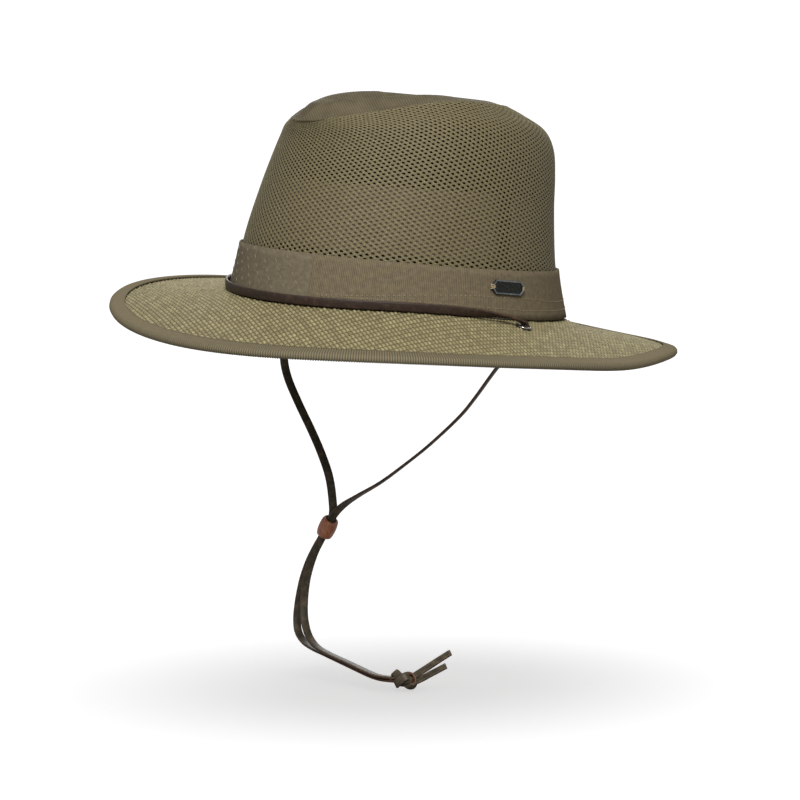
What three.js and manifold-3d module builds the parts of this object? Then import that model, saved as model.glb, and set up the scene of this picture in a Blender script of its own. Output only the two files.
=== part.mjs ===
// A safari fedora: open mesh crown, creased twill top, bound woven brim and a leather chin cord.
// Millimetres, +Z up. The origin is the middle of the head opening, in the plane where crown and
// brim meet. -Y is the front of the hat and +X is the wearer's left.
import * as THREE from "three";
import { LoftGeometry } from "three/addons/geometries/LoftGeometry.js";
import { mergeVertices } from "three/addons/utils/BufferGeometryUtils.js";
import Module from "manifold-3d";

const wasm = await Module();
wasm.setup();

// Driving dimensions
const GAP = 0.3; // between pieces that touch
const LAYER_GAP = 0.7; // between the layers of the crown, whose facets don't line up
const COLUMNS = 48;

// Crown, from the brim up to the seam of the top panel. Each row is one oval section:
// its level at the sides, its half width, and its reach to the front and to the back.
const CROWN_SECTIONS = [
  { level: 0, width: 84.5, front: 101.5, back: 101.5 },
  { level: 30, width: 82, front: 98, back: 91 },
  { level: 60, width: 79, front: 90, back: 86.3 },
  { level: 80, width: 76.5, front: 84.5, back: 85.8 },
  { level: 95, width: 73.5, front: 81.4, back: 83.9 },
  { level: 105.5, width: 69, front: 81.2, back: 75.5 },
  { level: 112.5, width: 61, front: 82, back: 57.5 },
  { level: 116.5, width: 56, front: 82.6, back: 42 },
];
const CROWN_WALL = 1.2;
const CROWN_ROWS = 10;
const SEAM_LEVEL = CROWN_SECTIONS.at(-1).level;
const FRONT_DIP = { depth: 19.1, angle: -10.5, power: 1.45 }; // how far the seam drops near the front
const BACK_RISE = { height: 0.8, angle: -140, power: 2 }; // how far it lifts behind, on the right
const DIP_POWER = 4; // both grow with this power of the level
const SADDLE = { rise: 3, angle: 62, spread: 32, fade: 40 }; // the foot rises beside the front
const PINCH = { depth: 2.5, angle: 40, spread: 17, power: 2.5 }; // the two dents beside the front

// Top panel, from the seam over the crest into the crease
const TOP_ROWS = 6;
const CREST_RISE = { all: 2.2, front: 9 }; // over the seam, and more where the seam dips
const CREST_ROUND = 0.85; // below 1 the panel climbs faster from the seam
const CREST_AT = 0.33; // share of the way from the seam to the crease
const SINK_FROM = 0.231; // share at which the panel starts to fall into the crease
const SEAM_JOIN = 0.8; // between the seam and the panel's first ring
const CREASE_LEVEL = 97;
const CREASE_REACH = 0.55; // length of the crease as a share of the seam's

// Hat band
const BAND_HEIGHT = 27;
const BAND_WALL = 1.3;
const BAND_FLARE = 1.2; // how much further the lower edge stands out
const BAND_ROWS = 3;

// Strip inside the crown, open at the wearer's left
const INNER = { wall: 1, foot: 1, height: 68, rows: 4, columns: 44, gapAngle: 89.5, gapWidth: 8 };

// Brim
const BRIM_WIDTH = 66.5;
const BRIM_WALL = 2;
const BRIM_TUCK = 2.5; // how far the brim runs in under the crown wall
const BRIM_ROWS = 5;
const DROOP = { mean: 11.25, front: 4.2, ends: 4.95, corners: 1.3, left: 6.3 };
const EAR_SAG = { depth: 2.2, angle: 103, spread: 16 }; // the brim hangs lower behind each ear
const BACK_FALL = { depth: 4.8, angle: 180, spread: 45 }; // it leaves the crown steeply at the back
const FALL_PEAK = 27 / 256; // the most that part * (1 - part) ** 3 reaches
const DROOP_CURVE = 0.15; // share of the droop that grows with the square of the reach

// Ribbon round the edge of the brim
const BINDING = { reach: 6.5, wall: 0.8, nose: 0.9 };

// Eyelets, one each side
const EYELET = { x: 97, y: 3, bore: 5.8, barrel: 6.6, flange: 9.4, flangeWall: 0.5, lift: 0.45, sides: 14 };

// Metal tag on the band, left blank
const BADGE = { angle: 89.5, level: 17.3, tilt: -1.7, lift: 0.45 };
const BADGE_PLATE = { length: 24, height: 7.6, wall: 1.3, corner: 2, hole: 1.6, holeInset: 2.2 };

// Leather lace: a flat strip
const LACE = { width: 5, thickness: 1.6, chamfer: 0.4 };
const STRAND_STEPS = 34;
const TAIL_STEPS = 6;

// Lace round the front of the crown: it stands on edge against the band, leaves it near each side,
// lies down on the brim and turns down into the eyelet. Angles are degrees from the front.
const FRONT = { leaves: 66, steps: 40, offBand: 0.5, offBrim: 0.7, footRun: 4, lean: 0.12 };
const FRONT_END = { risen: 2.4, sunk: -0.6, cut: -1.4 }; // heights of its end over the eyelet's seat
const FRONT_BRIDGE = { aim: 3.2, first: 0.4, firstLift: 0.9, second: 0.78, secondLift: 1.2, yaw: 0.25 };

// Level of the surface that the low end of the lace lies on
const FLOOR_LEVEL = -216;

// Slider bead and knot
const BEAD = { x: -47.1, y: 3.1, z: -140.8, lean: 26 };
const BEAD_BARREL = { diameter: 10.7, length: 12.2, bore: 7, lip: 0.9, lipAt: 0.94, rows: 8, sides: 14 };
const KNOT = { x: 43.5, y: -9, z: FLOOR_LEVEL + 5.2, turn: 20 };
const KNOT_LUMP = { length: 17, width: 12, height: 9.6, sides: 14, rows: 8 };

// Routes of the two strands from the eyelets to the knot. Each row is a point and the heading,
// in degrees in plan, of the strip's width there.
const STRAND_LEFT = [
  { x: 97, y: 3, z: -5.45, heading: 60 },
  { x: 93.5, y: 3, z: -13.5, heading: 100 },
  { x: 81, y: 3, z: -26, heading: 117 },
  { x: 65, y: 3, z: -46.6, heading: 121 },
  { x: 54, y: 3, z: -59, heading: 121 },
  { x: 33, y: 3, z: -77.8, heading: 121 },
  { x: 15, y: 3, z: -91.9, heading: 120 },
  { x: -4, y: 3, z: -105.8, heading: 112 },
  { x: -22, y: 2.7, z: -116.9, heading: 92 },
  { x: -33.6, y: 2.5, z: -124.6, heading: 68 },
  { x: -41.8, y: 2.4, z: -132.4, heading: 53 },
  { x: -46.4, y: 2.4, z: -140.8, heading: 48 },
  { x: -50.7, y: 2.3, z: -148.4, heading: 48 },
  { x: -54.4, y: 1.8, z: -156, heading: 50 },
  { x: -57.4, y: 1.6, z: -164.5, heading: 52 },
  { x: -59.6, y: 1.5, z: -174, heading: 55 },
  { x: -59.9, y: 1.2, z: -182.5, heading: 58 },
  { x: -58.8, y: 0.6, z: -191, heading: 62 },
  { x: -55.9, y: -0.4, z: -199, heading: 68 },
  { x: -50, y: -1.6, z: -206.6, heading: 74 },
  { x: -41, y: -2.8, z: -211.3, heading: 78 },
  { x: -29, y: -3.6, z: -213, heading: 80 },
  { x: -7, y: -7, z: -213.1, heading: 80 },
  { x: 17, y: -11.4, z: -213, heading: 82 },
  { x: 27, y: -12.2, z: -212.6, heading: 86 },
  { x: 35, y: -12.2, z: -211.4, heading: 90 },
];
const STRAND_RIGHT = [
  { x: -97, y: 3, z: -3.25, heading: 120 },
  { x: -98.4, y: 3, z: -14, heading: 90 },
  { x: -101, y: 3, z: -31, heading: 60 },
  { x: -101.5, y: 3, z: -45.5, heading: 50 },
  { x: -95.8, y: 3, z: -57.8, heading: 47 },
  { x: -83.4, y: 3, z: -71.9, heading: 47 },
  { x: -70.3, y: 3, z: -85.2, heading: 47 },
  { x: -59.3, y: 3, z: -97.4, heading: 47 },
  { x: -50.4, y: 3.3, z: -110.2, heading: 47 },
  { x: -46, y: 3.8, z: -123, heading: 48 },
  { x: -44.2, y: 3.8, z: -133, heading: 48 },
  { x: -47.9, y: 3.8, z: -140.8, heading: 48 },
  { x: -52.2, y: 3.8, z: -148.4, heading: 48 },
  { x: -57, y: 4, z: -156, heading: 48 },
  { x: -61.4, y: 4, z: -164.5, heading: 48 },
  { x: -65, y: 4, z: -174.6, heading: 50 },
  { x: -66.8, y: 4, z: -183.3, heading: 52 },
  { x: -67.7, y: 3.9, z: -192.2, heading: 56 },
  { x: -67.4, y: 3.6, z: -200.8, heading: 62 },
  { x: -64.6, y: 3.1, z: -208.4, heading: 70 },
  { x: -57.6, y: 2.6, z: -213.2, heading: 76 },
  { x: -47, y: 1.2, z: -214.9, heading: 79 },
  { x: -30, y: -1.7, z: -215, heading: 80 },
  { x: -8, y: -5.7, z: -215, heading: 80 },
  { x: 17, y: -10.1, z: -215, heading: 82 },
  { x: 27, y: -11, z: -214.6, heading: 86 },
  { x: 35.4, y: -11, z: -213.4, heading: 90 },
];

// The two cut ends past the knot
const TAIL_LEFT = [
  { x: 47.5, y: -3.3, z: -207.5, heading: 174 },
  { x: 52, y: 1.5, z: -202.2, heading: 174 },
  { x: 55.8, y: 5.6, z: -197.6, heading: 172 },
  { x: 59.9, y: 10, z: -192.8, heading: 170 },
];
const TAIL_RIGHT = [
  { x: 50.6, y: -3.6, z: -209.9, heading: 174 },
  { x: 54.7, y: 0.8, z: -205.8, heading: 174 },
  { x: 57.5, y: 3.8, z: -203.1, heading: 172 },
  { x: 60.4, y: 6.9, z: -200.2, heading: 170 },
];

const COLOURS = {
  mesh: 0x6a5d3c,
  twill: 0x5d5236,
  band: 0x65542f,
  strip: 0x6b5f45,
  straw: 0x8b8058,
  ribbon: 0x8d8059,
  steel: 0xb9b7b0,
  gunmetal: 0x5a5850,
  leather: 0x4a2f1d,
  wood: 0x8a5432,
};

// Helpers
const radians = THREE.MathUtils.degToRad;
const smooth = (low, high, value) => THREE.MathUtils.smoothstep(value, low, high);

// A value from evenly spaced keys, on a smooth curve through them
function throughKeys(keys, share) {
  const place = share * (keys.length - 1);
  const cell = Math.min(Math.floor(place), keys.length - 2);
  const t = place - cell;
  const b = keys[cell];
  const c = keys[cell + 1];
  const a = cell > 0 ? keys[cell - 1] : 2 * b - c;
  const d = cell + 2 < keys.length ? keys[cell + 2] : 2 * c - b;
  return b + 0.5 * t * (c - a + t * (2 * a - 5 * b + 4 * c - d + t * (3 * (b - c) + d - a)));
}

function sectionAt(share) {
  const column = (name) => throughKeys(CROWN_SECTIONS.map((row) => row[name]), share);
  return { level: column("level"), width: column("width"), front: column("front"), back: column("back") };
}

// Share of the way up the crown at which its sides reach a level
function shareAtLevel(level) {
  let low = 0;
  let high = 1;
  for (let step = 0; step < 30; step += 1) {
    const middle = (low + high) / 2;
    if (sectionAt(middle).level < level) low = middle;
    else high = middle;
  }
  return (low + high) / 2;
}

// How far round from the front an angle is, on either side
const fromFront = (angle) => Math.abs(Math.atan2(Math.sin(angle), Math.cos(angle)));

// One at a bearing in degrees and nothing on the far half of the hat
const facing = (angle, degrees) => Math.max(0, Math.cos(angle - radians(degrees)));

// A hump round the hat, centred so many degrees from the front on both sides
function hump(angle, centre, spread) {
  const off = (fromFront(angle) - radians(centre)) / radians(spread);
  return Math.exp(-off * off);
}

// A point on the outside of the crown. The angle runs from the front towards the wearer's left.
function crownPoint(angle, share) {
  const section = sectionAt(share);
  const reach = Math.cos(angle) > 0 ? section.front : section.back;
  const height = section.level / SEAM_LEVEL;
  const rise = height ** DIP_POWER;
  const drop = FRONT_DIP.depth * facing(angle, FRONT_DIP.angle) ** FRONT_DIP.power;
  const lift = BACK_RISE.height * facing(angle, BACK_RISE.angle) ** BACK_RISE.power;
  const dent = PINCH.depth * height ** PINCH.power * hump(angle, PINCH.angle, PINCH.spread);
  const low = Math.max(0, 1 - section.level / SADDLE.fade) ** 2;
  const saddle = SADDLE.rise * low * hump(angle, SADDLE.angle, SADDLE.spread);
  const x = section.width * Math.sin(angle);
  const y = -reach * Math.cos(angle);
  const keep = 1 - dent / Math.hypot(x, y);
  return new THREE.Vector3(x * keep, y * keep, section.level + rise * (lift - drop) + saddle);
}

// A point on the top panel: share 0 is the seam and 1 the bottom of the crease
function topPoint(angle, share) {
  const seam = crownPoint(angle, 1);
  const climb = CREST_RISE.all + CREST_RISE.front * facing(angle, FRONT_DIP.angle);
  const crest = seam.z + climb * smooth(0, CREST_AT, share) ** CREST_ROUND;
  const sink = smooth(SINK_FROM, 1, share);
  return new THREE.Vector3(
    seam.x * (1 - share),
    seam.y * (1 - share + share * CREASE_REACH),
    crest + (CREASE_LEVEL - crest) * sink,
  );
}

// A point on the upper face of the brim: share 0 is its inner edge under the crown wall
function brimPoint(angle, share) {
  const base = crownPoint(angle, 0);
  const reach = Math.cos(angle) > 0 ? CROWN_SECTIONS[0].front : CROWN_SECTIONS[0].back;
  const out = new THREE.Vector3(base.x / CROWN_SECTIONS[0].width ** 2, base.y / reach ** 2, 0).normalize();
  const run = share * (BRIM_WIDTH + BRIM_TUCK) - BRIM_TUCK;
  const part = Math.max(0, run) / BRIM_WIDTH;
  const droop =
    DROOP.mean +
    DROOP.front * Math.cos(angle) +
    DROOP.ends * Math.cos(2 * angle) +
    DROOP.corners * Math.cos(4 * angle) +
    DROOP.left * Math.sin(angle) +
    EAR_SAG.depth * hump(angle, EAR_SAG.angle, EAR_SAG.spread);
  const sag = droop * (part * (1 - DROOP_CURVE) + part * part * DROOP_CURVE);
  const saddle = base.z * (1 - part) ** 3;
  const behind = BACK_FALL.depth * hump(angle, BACK_FALL.angle, BACK_FALL.spread);
  const fall = (behind * part * (1 - part) ** 3) / FALL_PEAK;
  return base.addScaledVector(out, run).setZ(saddle - GAP - fall - sag);
}

// The upward normal of the brim, and a point lifted off its upper face
const brimUp = (angle, share) => normalOf(brimPoint, angle, share).negate();
function overBrim(angle, share, lift) {
  return brimPoint(angle, share).addScaledVector(brimUp(angle, share), lift);
}
const brimShare = (run) => (run + BRIM_TUCK) / (BRIM_WIDTH + BRIM_TUCK);

// The outward normal of a surface given as a point function of angle and share
function normalOf(surface, angle, share) {
  const step = 1e-3;
  const low = Math.max(0, share - step);
  const high = Math.min(1, share + step);
  const along = surface(angle + step, share).sub(surface(angle - step, share));
  const up = surface(angle, high).sub(surface(angle, low));
  return along.cross(up).normalize();
}

function offset(surface, angle, share, distance) {
  return surface(angle, share).addScaledVector(normalOf(surface, angle, share), distance);
}

const angles = Array.from({ length: COLUMNS }, (_, column) => (column / COLUMNS) * 2 * Math.PI);
function shares(rows, from, to) {
  return Array.from({ length: rows + 1 }, (_, row) => from + ((to - from) * row) / rows);
}

// A loft with its faces pointing out, whatever way round its sections were listed
function loft(sections, options = {}) {
  const turned = () => sections.map((section) => [...section].reverse());
  const geometry = new LoftGeometry(sections, options);
  return volumeOf(geometry) > 0 ? geometry : new LoftGeometry(turned(), options);
}

function volumeOf(geometry) {
  const place = geometry.getAttribute("position");
  const index = geometry.index;
  const corner = [new THREE.Vector3(), new THREE.Vector3(), new THREE.Vector3()];
  let sum = 0;
  for (let i = 0; i < index.count; i += 3) {
    corner.forEach((point, k) => point.fromBufferAttribute(place, index.getX(i + k)));
    sum += corner[0].dot(corner[1].clone().cross(corner[2]));
  }
  return sum / 6;
}

// A wall that runs all the way round: rings up its outside, then down its inside, then closed
const wallLoft = (outside, inside) => loft([...outside, ...[...inside].reverse(), outside[0]]);

const solidOf = (geometry) => {
  const bare = new THREE.BufferGeometry().setAttribute("position", geometry.getAttribute("position"));
  const merged = mergeVertices(bare.setIndex(geometry.index), 1e-3);
  const vertProperties = merged.attributes.position.array;
  const triVerts = new Uint32Array(merged.index.array);
  return new wasm.Manifold(new wasm.Mesh({ numProp: 3, vertProperties, triVerts }));
};

const geometryOf = (solid) => {
  const mesh = solid.getMesh();
  return new THREE.BufferGeometry()
    .setAttribute("position", new THREE.BufferAttribute(mesh.vertProperties, 3))
    .setIndex(new THREE.BufferAttribute(mesh.triVerts, 1));
};

const hat = new THREE.Group();

function add(name, geometry, color, roughness = 0.85, metalness = 0) {
  const mesh = new THREE.Mesh(geometry, new THREE.MeshStandardMaterial({ color, roughness, metalness }));
  mesh.name = name;
  hat.add(mesh);
  return mesh;
}

// Crown wall
const crownRing = (share, depth) => angles.map((angle) => offset(crownPoint, angle, share, -depth));
const crownShares = shares(CROWN_ROWS, 0, 1);
const crownRings = (depth) => crownShares.map((share) => crownRing(share, depth));
add("crown_side", wallLoft(crownRings(0), crownRings(CROWN_WALL)), COLOURS.mesh);

// Top panel. Its first ring stands just inside the crown wall's upper edge and leans as that
// edge does, and its last ring closes on itself along the crease.
function topRing(share, depth) {
  return angles.map((angle) => {
    if (share === 0) {
      const edge = offset(crownPoint, angle, 1, -depth);
      const inward = topPoint(angle, CREST_AT / 3).sub(topPoint(angle, 0)).normalize();
      return edge.addScaledVector(inward, SEAM_JOIN);
    }
    return topPoint(angle, share).setZ(topPoint(angle, share).z - depth);
  });
}
const topShares = shares(TOP_ROWS, 0, 1);
add(
  "crown_top",
  loft([
    ...topShares.map((share) => topRing(share, 0)).reverse(),
    ...topShares.map((share) => topRing(share, CROWN_WALL)),
  ]),
  COLOURS.twill,
);

// Hat band
const bandTop = shareAtLevel(BAND_HEIGHT);
const bandFoot = shareAtLevel(GAP);
const bandFlareAt = (share) => BAND_FLARE * (1 - (share - bandFoot) / (bandTop - bandFoot)) ** 2;
const bandOut = (share) => LAYER_GAP + BAND_WALL + bandFlareAt(share);
const bandShares = shares(BAND_ROWS, bandFoot, bandTop);
add(
  "hat_band",
  wallLoft(
    bandShares.map((share) => crownRing(share, -bandOut(share))),
    bandShares.map((share) => crownRing(share, -LAYER_GAP)),
  ),
  COLOURS.band,
);

// Inner strip, a ring with a gap between its two ends
const stripShares = shares(INNER.rows, shareAtLevel(INNER.foot), shareAtLevel(INNER.height));
const stripHalfGap = INNER.gapWidth / 2 / CROWN_SECTIONS[0].width;
const stripStart = radians(INNER.gapAngle) + stripHalfGap;
const stripEnd = radians(INNER.gapAngle + 360) - stripHalfGap;
const stripAngles = shares(INNER.columns, stripStart, stripEnd);
const stripOut = CROWN_WALL + LAYER_GAP;
const stripLine = (angle, depth) => stripShares.map((share) => offset(crownPoint, angle, share, -depth));
add(
  "inner_band",
  loft(
    stripAngles.map((angle) => [
      ...stripLine(angle, stripOut),
      ...stripLine(angle, stripOut + INNER.wall).reverse(),
    ]),
    { capStart: true, capEnd: true },
  ),
  COLOURS.strip,
);

// Brim with its two eyelet holes
const brimRing = (share, lift) => angles.map((angle) => overBrim(angle, share, lift));
const brimShares = shares(BRIM_ROWS, 0, 1);
const brimSheet = wallLoft(
  brimShares.map((share) => brimRing(share, 0)),
  brimShares.map((share) => brimRing(share, -BRIM_WALL)),
);

// Where an eyelet sits: on the brim's upper face, turned to its slope
function eyeletPlace(side) {
  const angle = Math.atan2(side * EYELET.x, -EYELET.y);
  const base = crownPoint(angle, 0);
  const run = Math.hypot(side * EYELET.x - base.x, EYELET.y - base.y);
  const share = brimShare(run);
  const up = brimUp(angle, share);
  const turn = new THREE.Quaternion().setFromUnitVectors(new THREE.Vector3(0, 1, 0), up);
  return { place: brimPoint(angle, share), up, turn };
}
const holeGeometry = (side) => {
  const seat = eyeletPlace(side);
  const radius = EYELET.barrel / 2 + GAP;
  return new THREE.CylinderGeometry(radius, radius, 4 * BRIM_WALL, EYELET.sides)
    .applyQuaternion(seat.turn)
    .translate(seat.place.x, seat.place.y, seat.place.z);
};
const brimSolid = solidOf(brimSheet).subtract(solidOf(holeGeometry(1))).subtract(solidOf(holeGeometry(-1)));
add("brim", geometryOf(brimSolid), COLOURS.straw);

// Eyelets: a barrel through the brim with a flange above and below
function eyeletGeometry() {
  const bore = EYELET.bore / 2;
  const barrel = EYELET.barrel / 2;
  const flange = EYELET.flange / 2;
  const upper = EYELET.lift;
  const lower = -BRIM_WALL - EYELET.lift;
  const wall = EYELET.flangeWall;
  const profile = [
    [bore, lower - wall],
    [flange, lower - wall],
    [flange, lower],
    [barrel, lower],
    [barrel, upper],
    [flange, upper],
    [flange - wall, upper + wall],
    [bore, upper + wall],
    [bore, lower - wall],
  ];
  return new THREE.LatheGeometry(profile.map(([r, y]) => new THREE.Vector2(r, y)), EYELET.sides);
}
for (const [name, side] of [["eyelet_left", 1], ["eyelet_right", -1]]) {
  const seat = eyeletPlace(side);
  const mesh = add(name, eyeletGeometry(), COLOURS.steel, 0.3, 1);
  mesh.quaternion.copy(seat.turn);
  mesh.position.copy(seat.place);
}

// Ribbon folded over the edge of the brim
const bindingStart = brimShare(BRIM_WIDTH - BINDING.reach);
const bindingShares = shares(2, bindingStart, 1);
function bindingRings(lift) {
  const over = bindingShares.map((share) => brimRing(share, lift));
  const under = bindingShares.map((share) => brimRing(share, -BRIM_WALL - lift)).reverse();
  const nose = angles.map((angle) => {
    const edge = overBrim(angle, 1, -BRIM_WALL / 2);
    const outward = brimPoint(angle, 1).sub(brimPoint(angle, bindingStart)).normalize();
    return edge.addScaledVector(outward, lift + BINDING.nose);
  });
  return [...over, nose, ...under];
}
add("brim_binding", wallLoft(bindingRings(GAP + BINDING.wall), bindingRings(GAP)), COLOURS.ribbon);

// Blank metal tag, flat against the band
const badgeAngle = radians(BADGE.angle);
const badgeShare = shareAtLevel(BADGE.level);
function badgeGeometry() {
  const plate = BADGE_PLATE;
  const x = plate.length / 2;
  const y = plate.height / 2;
  const inX = x - plate.corner;
  const inY = y - plate.corner;
  const corners = [[-inX, -y], [inX, -y], [x, -inY], [x, inY], [inX, y], [-inX, y], [-x, inY], [-x, -inY]];
  const outline = new THREE.Shape(corners.map(([px, py]) => new THREE.Vector2(px, py)));
  for (const side of [-1, 1]) {
    const middle = side * (x - plate.holeInset);
    outline.holes.push(new THREE.Path().absarc(middle, 0, plate.hole / 2, 0, 2 * Math.PI, true));
  }
  return new THREE.ExtrudeGeometry(outline, { depth: plate.wall, bevelEnabled: false, curveSegments: 5 });
}
const badge = add("badge", badgeGeometry(), COLOURS.gunmetal, 0.35, 1);
const badgeOut = normalOf(crownPoint, badgeAngle, badgeShare);
const badgeRight = new THREE.Vector3(0, 0, 1).cross(badgeOut).normalize();
badge.quaternion.setFromRotationMatrix(
  new THREE.Matrix4().makeBasis(badgeRight, badgeOut.clone().cross(badgeRight), badgeOut),
);
badge.rotateZ(radians(BADGE.tilt));
badge.position.copy(offset(crownPoint, badgeAngle, badgeShare, bandOut(badgeShare) + BADGE.lift));

// Section of the lace: a flat oblong with its corners cut off, as pairs across and through it
const laceWide = LACE.width / 2;
const laceThick = LACE.thickness / 2;
const LACE_SECTION = [
  [-laceWide, LACE.chamfer - laceThick],
  [LACE.chamfer - laceWide, -laceThick],
  [laceWide - LACE.chamfer, -laceThick],
  [laceWide, LACE.chamfer - laceThick],
  [laceWide, laceThick - LACE.chamfer],
  [laceWide - LACE.chamfer, laceThick],
  [LACE.chamfer - laceWide, laceThick],
  [-laceWide, laceThick - LACE.chamfer],
];

// Flat strip along a route. Each station is a place and the strip's width direction.
function stripGeometry(stations) {
  const sections = stations.map(({ place, wide }, i) => {
    const ahead = stations[Math.min(i + 1, stations.length - 1)].place;
    const behind = stations[Math.max(i - 1, 0)].place;
    const along = ahead.clone().sub(behind).normalize();
    const across = wide.clone().addScaledVector(along, -wide.dot(along)).normalize();
    const thick = along.clone().cross(across);
    return LACE_SECTION.map(([w, t]) => place.clone().addScaledVector(across, w).addScaledVector(thick, t));
  });
  return loft(sections, { capStart: true, capEnd: true });
}

function routeStations(rows, steps) {
  const route = new THREE.CatmullRomCurve3(rows.map(({ x, y, z }) => new THREE.Vector3(x, y, z)));
  const headings = rows.map((row) => row.heading);
  return shares(steps, 0, 1).map((share) => {
    const heading = radians(throughKeys(headings, share));
    const wide = new THREE.Vector3(Math.cos(heading), Math.sin(heading), 0);
    return { place: route.getPoint(share), wide };
  });
}

// Lace round the front of the crown, as a row of stations from eyelet to eyelet
function frontStation(share) {
  const end = radians(FRONT.leaves);
  const angle = -end + 2 * end * share;
  const out = normalOf(crownPoint, angle, bandFoot);
  const place = offset(crownPoint, angle, bandFoot, bandOut(bandFoot) + FRONT.offBand + laceThick);
  place.setZ(brimPoint(angle, brimShare(FRONT.footRun)).z + FRONT.offBrim + laceWide);
  return { place, wide: brimUp(angle, brimShare(FRONT.footRun)).lerp(out, -FRONT.lean).normalize() };
}
function frontEnd(side) {
  const seat = eyeletPlace(side);
  const above = (height) => seat.place.clone().addScaledVector(seat.up, height);
  const leave = frontStation(side > 0 ? 1 : 0).place;
  const lifted = (lift) => new THREE.Vector3(0, 0, lift);
  const between = (share, lift) => leave.clone().lerp(above(FRONT_BRIDGE.aim), share).add(lifted(lift));
  const flat = new THREE.Vector3(side, FRONT_BRIDGE.yaw, 0).normalize();
  const halfTurned = flat.clone().add(lifted(Math.SQRT2)).normalize();
  return [
    { place: between(FRONT_BRIDGE.first, FRONT_BRIDGE.firstLift), wide: halfTurned },
    { place: between(FRONT_BRIDGE.second, FRONT_BRIDGE.secondLift), wide: flat },
    { place: above(FRONT_END.risen), wide: flat },
    { place: above(FRONT_END.sunk), wide: flat },
    { place: above(FRONT_END.cut), wide: flat },
  ];
}
const frontStations = [
  ...frontEnd(-1).reverse(),
  ...shares(FRONT.steps, 0, 1).map(frontStation),
  ...frontEnd(1),
];
add("cord_front", stripGeometry(frontStations), COLOURS.leather, 0.6);

// Hanging strands and cut ends
add("cord_left", stripGeometry(routeStations(STRAND_LEFT, STRAND_STEPS)), COLOURS.leather, 0.6);
add("cord_right", stripGeometry(routeStations(STRAND_RIGHT, STRAND_STEPS)), COLOURS.leather, 0.6);
add("cord_tail_left", stripGeometry(routeStations(TAIL_LEFT, TAIL_STEPS)), COLOURS.leather, 0.6);
add("cord_tail_right", stripGeometry(routeStations(TAIL_RIGHT, TAIL_STEPS)), COLOURS.leather, 0.6);

// Slider bead: a turned barrel with a bore for both strands
function beadGeometry() {
  const half = BEAD_BARREL.length / 2;
  const bore = BEAD_BARREL.bore / 2;
  const lip = bore + BEAD_BARREL.lip;
  const swell = BEAD_BARREL.diameter / 2 - lip;
  const profile = [new THREE.Vector2(bore, -half)];
  for (const share of shares(BEAD_BARREL.rows, -BEAD_BARREL.lipAt, BEAD_BARREL.lipAt)) {
    profile.push(new THREE.Vector2(lip + swell * Math.sqrt(1 - share * share), share * half));
  }
  profile.push(new THREE.Vector2(bore, half), profile[0].clone());
  return new THREE.LatheGeometry(profile, BEAD_BARREL.sides);
}
const bead = add("cord_bead", beadGeometry(), COLOURS.wood, 0.55);
bead.rotation.set(Math.PI / 2, 0, 0);
const beadAxis = new THREE.Group();
beadAxis.add(bead);
beadAxis.rotation.y = radians(BEAD.lean);
beadAxis.position.set(BEAD.x, BEAD.y, BEAD.z);
hat.add(beadAxis);

// Knot, drawn up to a small lump
const lump = new THREE.SphereGeometry(0.5, KNOT_LUMP.sides, KNOT_LUMP.rows);
const knot = add("cord_knot", lump, COLOURS.leather, 0.6);
knot.scale.set(KNOT_LUMP.length, KNOT_LUMP.width, KNOT_LUMP.height);
knot.rotation.z = radians(KNOT.turn);
knot.position.set(KNOT.x, KNOT.y, KNOT.z);

export default hat;
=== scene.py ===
# %% [markdown]
# A safari fedora: an open net crown with a creased twill top, a ribbed band, a wide woven brim with
# a ribbon round its edge, and a flat leather lace that runs through two eyelets to a bead and a knot.
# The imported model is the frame: every piece below is made where that frame says it is.

# %% Load the frame
import math
import bmesh
import bpy
from mathutils import Matrix, Vector


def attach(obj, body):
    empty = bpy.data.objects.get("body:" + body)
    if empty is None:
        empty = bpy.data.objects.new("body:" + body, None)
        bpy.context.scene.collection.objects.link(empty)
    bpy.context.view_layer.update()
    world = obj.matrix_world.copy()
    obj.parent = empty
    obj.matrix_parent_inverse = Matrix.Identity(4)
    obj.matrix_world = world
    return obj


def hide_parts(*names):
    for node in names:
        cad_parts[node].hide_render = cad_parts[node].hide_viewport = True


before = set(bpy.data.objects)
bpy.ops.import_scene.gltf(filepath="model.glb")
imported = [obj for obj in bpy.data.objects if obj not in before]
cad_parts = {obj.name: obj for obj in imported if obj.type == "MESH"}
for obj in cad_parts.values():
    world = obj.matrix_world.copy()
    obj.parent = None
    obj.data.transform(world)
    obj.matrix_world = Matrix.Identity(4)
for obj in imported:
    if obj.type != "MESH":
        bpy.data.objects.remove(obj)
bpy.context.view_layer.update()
scene = bpy.context.scene
print("frame nodes:", sorted(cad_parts))

# %% [markdown]
# The camera comes first. A long lens from 1.3 m keeps the ovals of the brim and the band flat, and a slight
# roll tips the hat the way it hangs in the picture. A camera looks along its own -Z, so its matrix is built
# from three directions.

# %% Camera
MM = 0.001
CAMERA = {"azimuth": 47, "distance": 1300, "height": 92, "yaw": -0.25, "pitch": 6.51, "roll": 5.6}
FOCAL_PIXELS = 2268
IMAGE_PIXELS = 800
SENSOR = 36

swing = math.radians(CAMERA["azimuth"])
heading = math.radians(CAMERA["azimuth"] + CAMERA["yaw"])
pitch = math.radians(CAMERA["pitch"])
roll = math.radians(CAMERA["roll"])
level_forward = Vector((-math.sin(heading), math.cos(heading), 0))
forward = level_forward * math.cos(pitch) - Vector((0, 0, math.sin(pitch)))
level_right = forward.cross(Vector((0, 0, 1))).normalized()
level_up = level_right.cross(forward)
camera_right = level_right * math.cos(roll) + level_up * math.sin(roll)
camera_up = level_up * math.cos(roll) - level_right * math.sin(roll)

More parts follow.
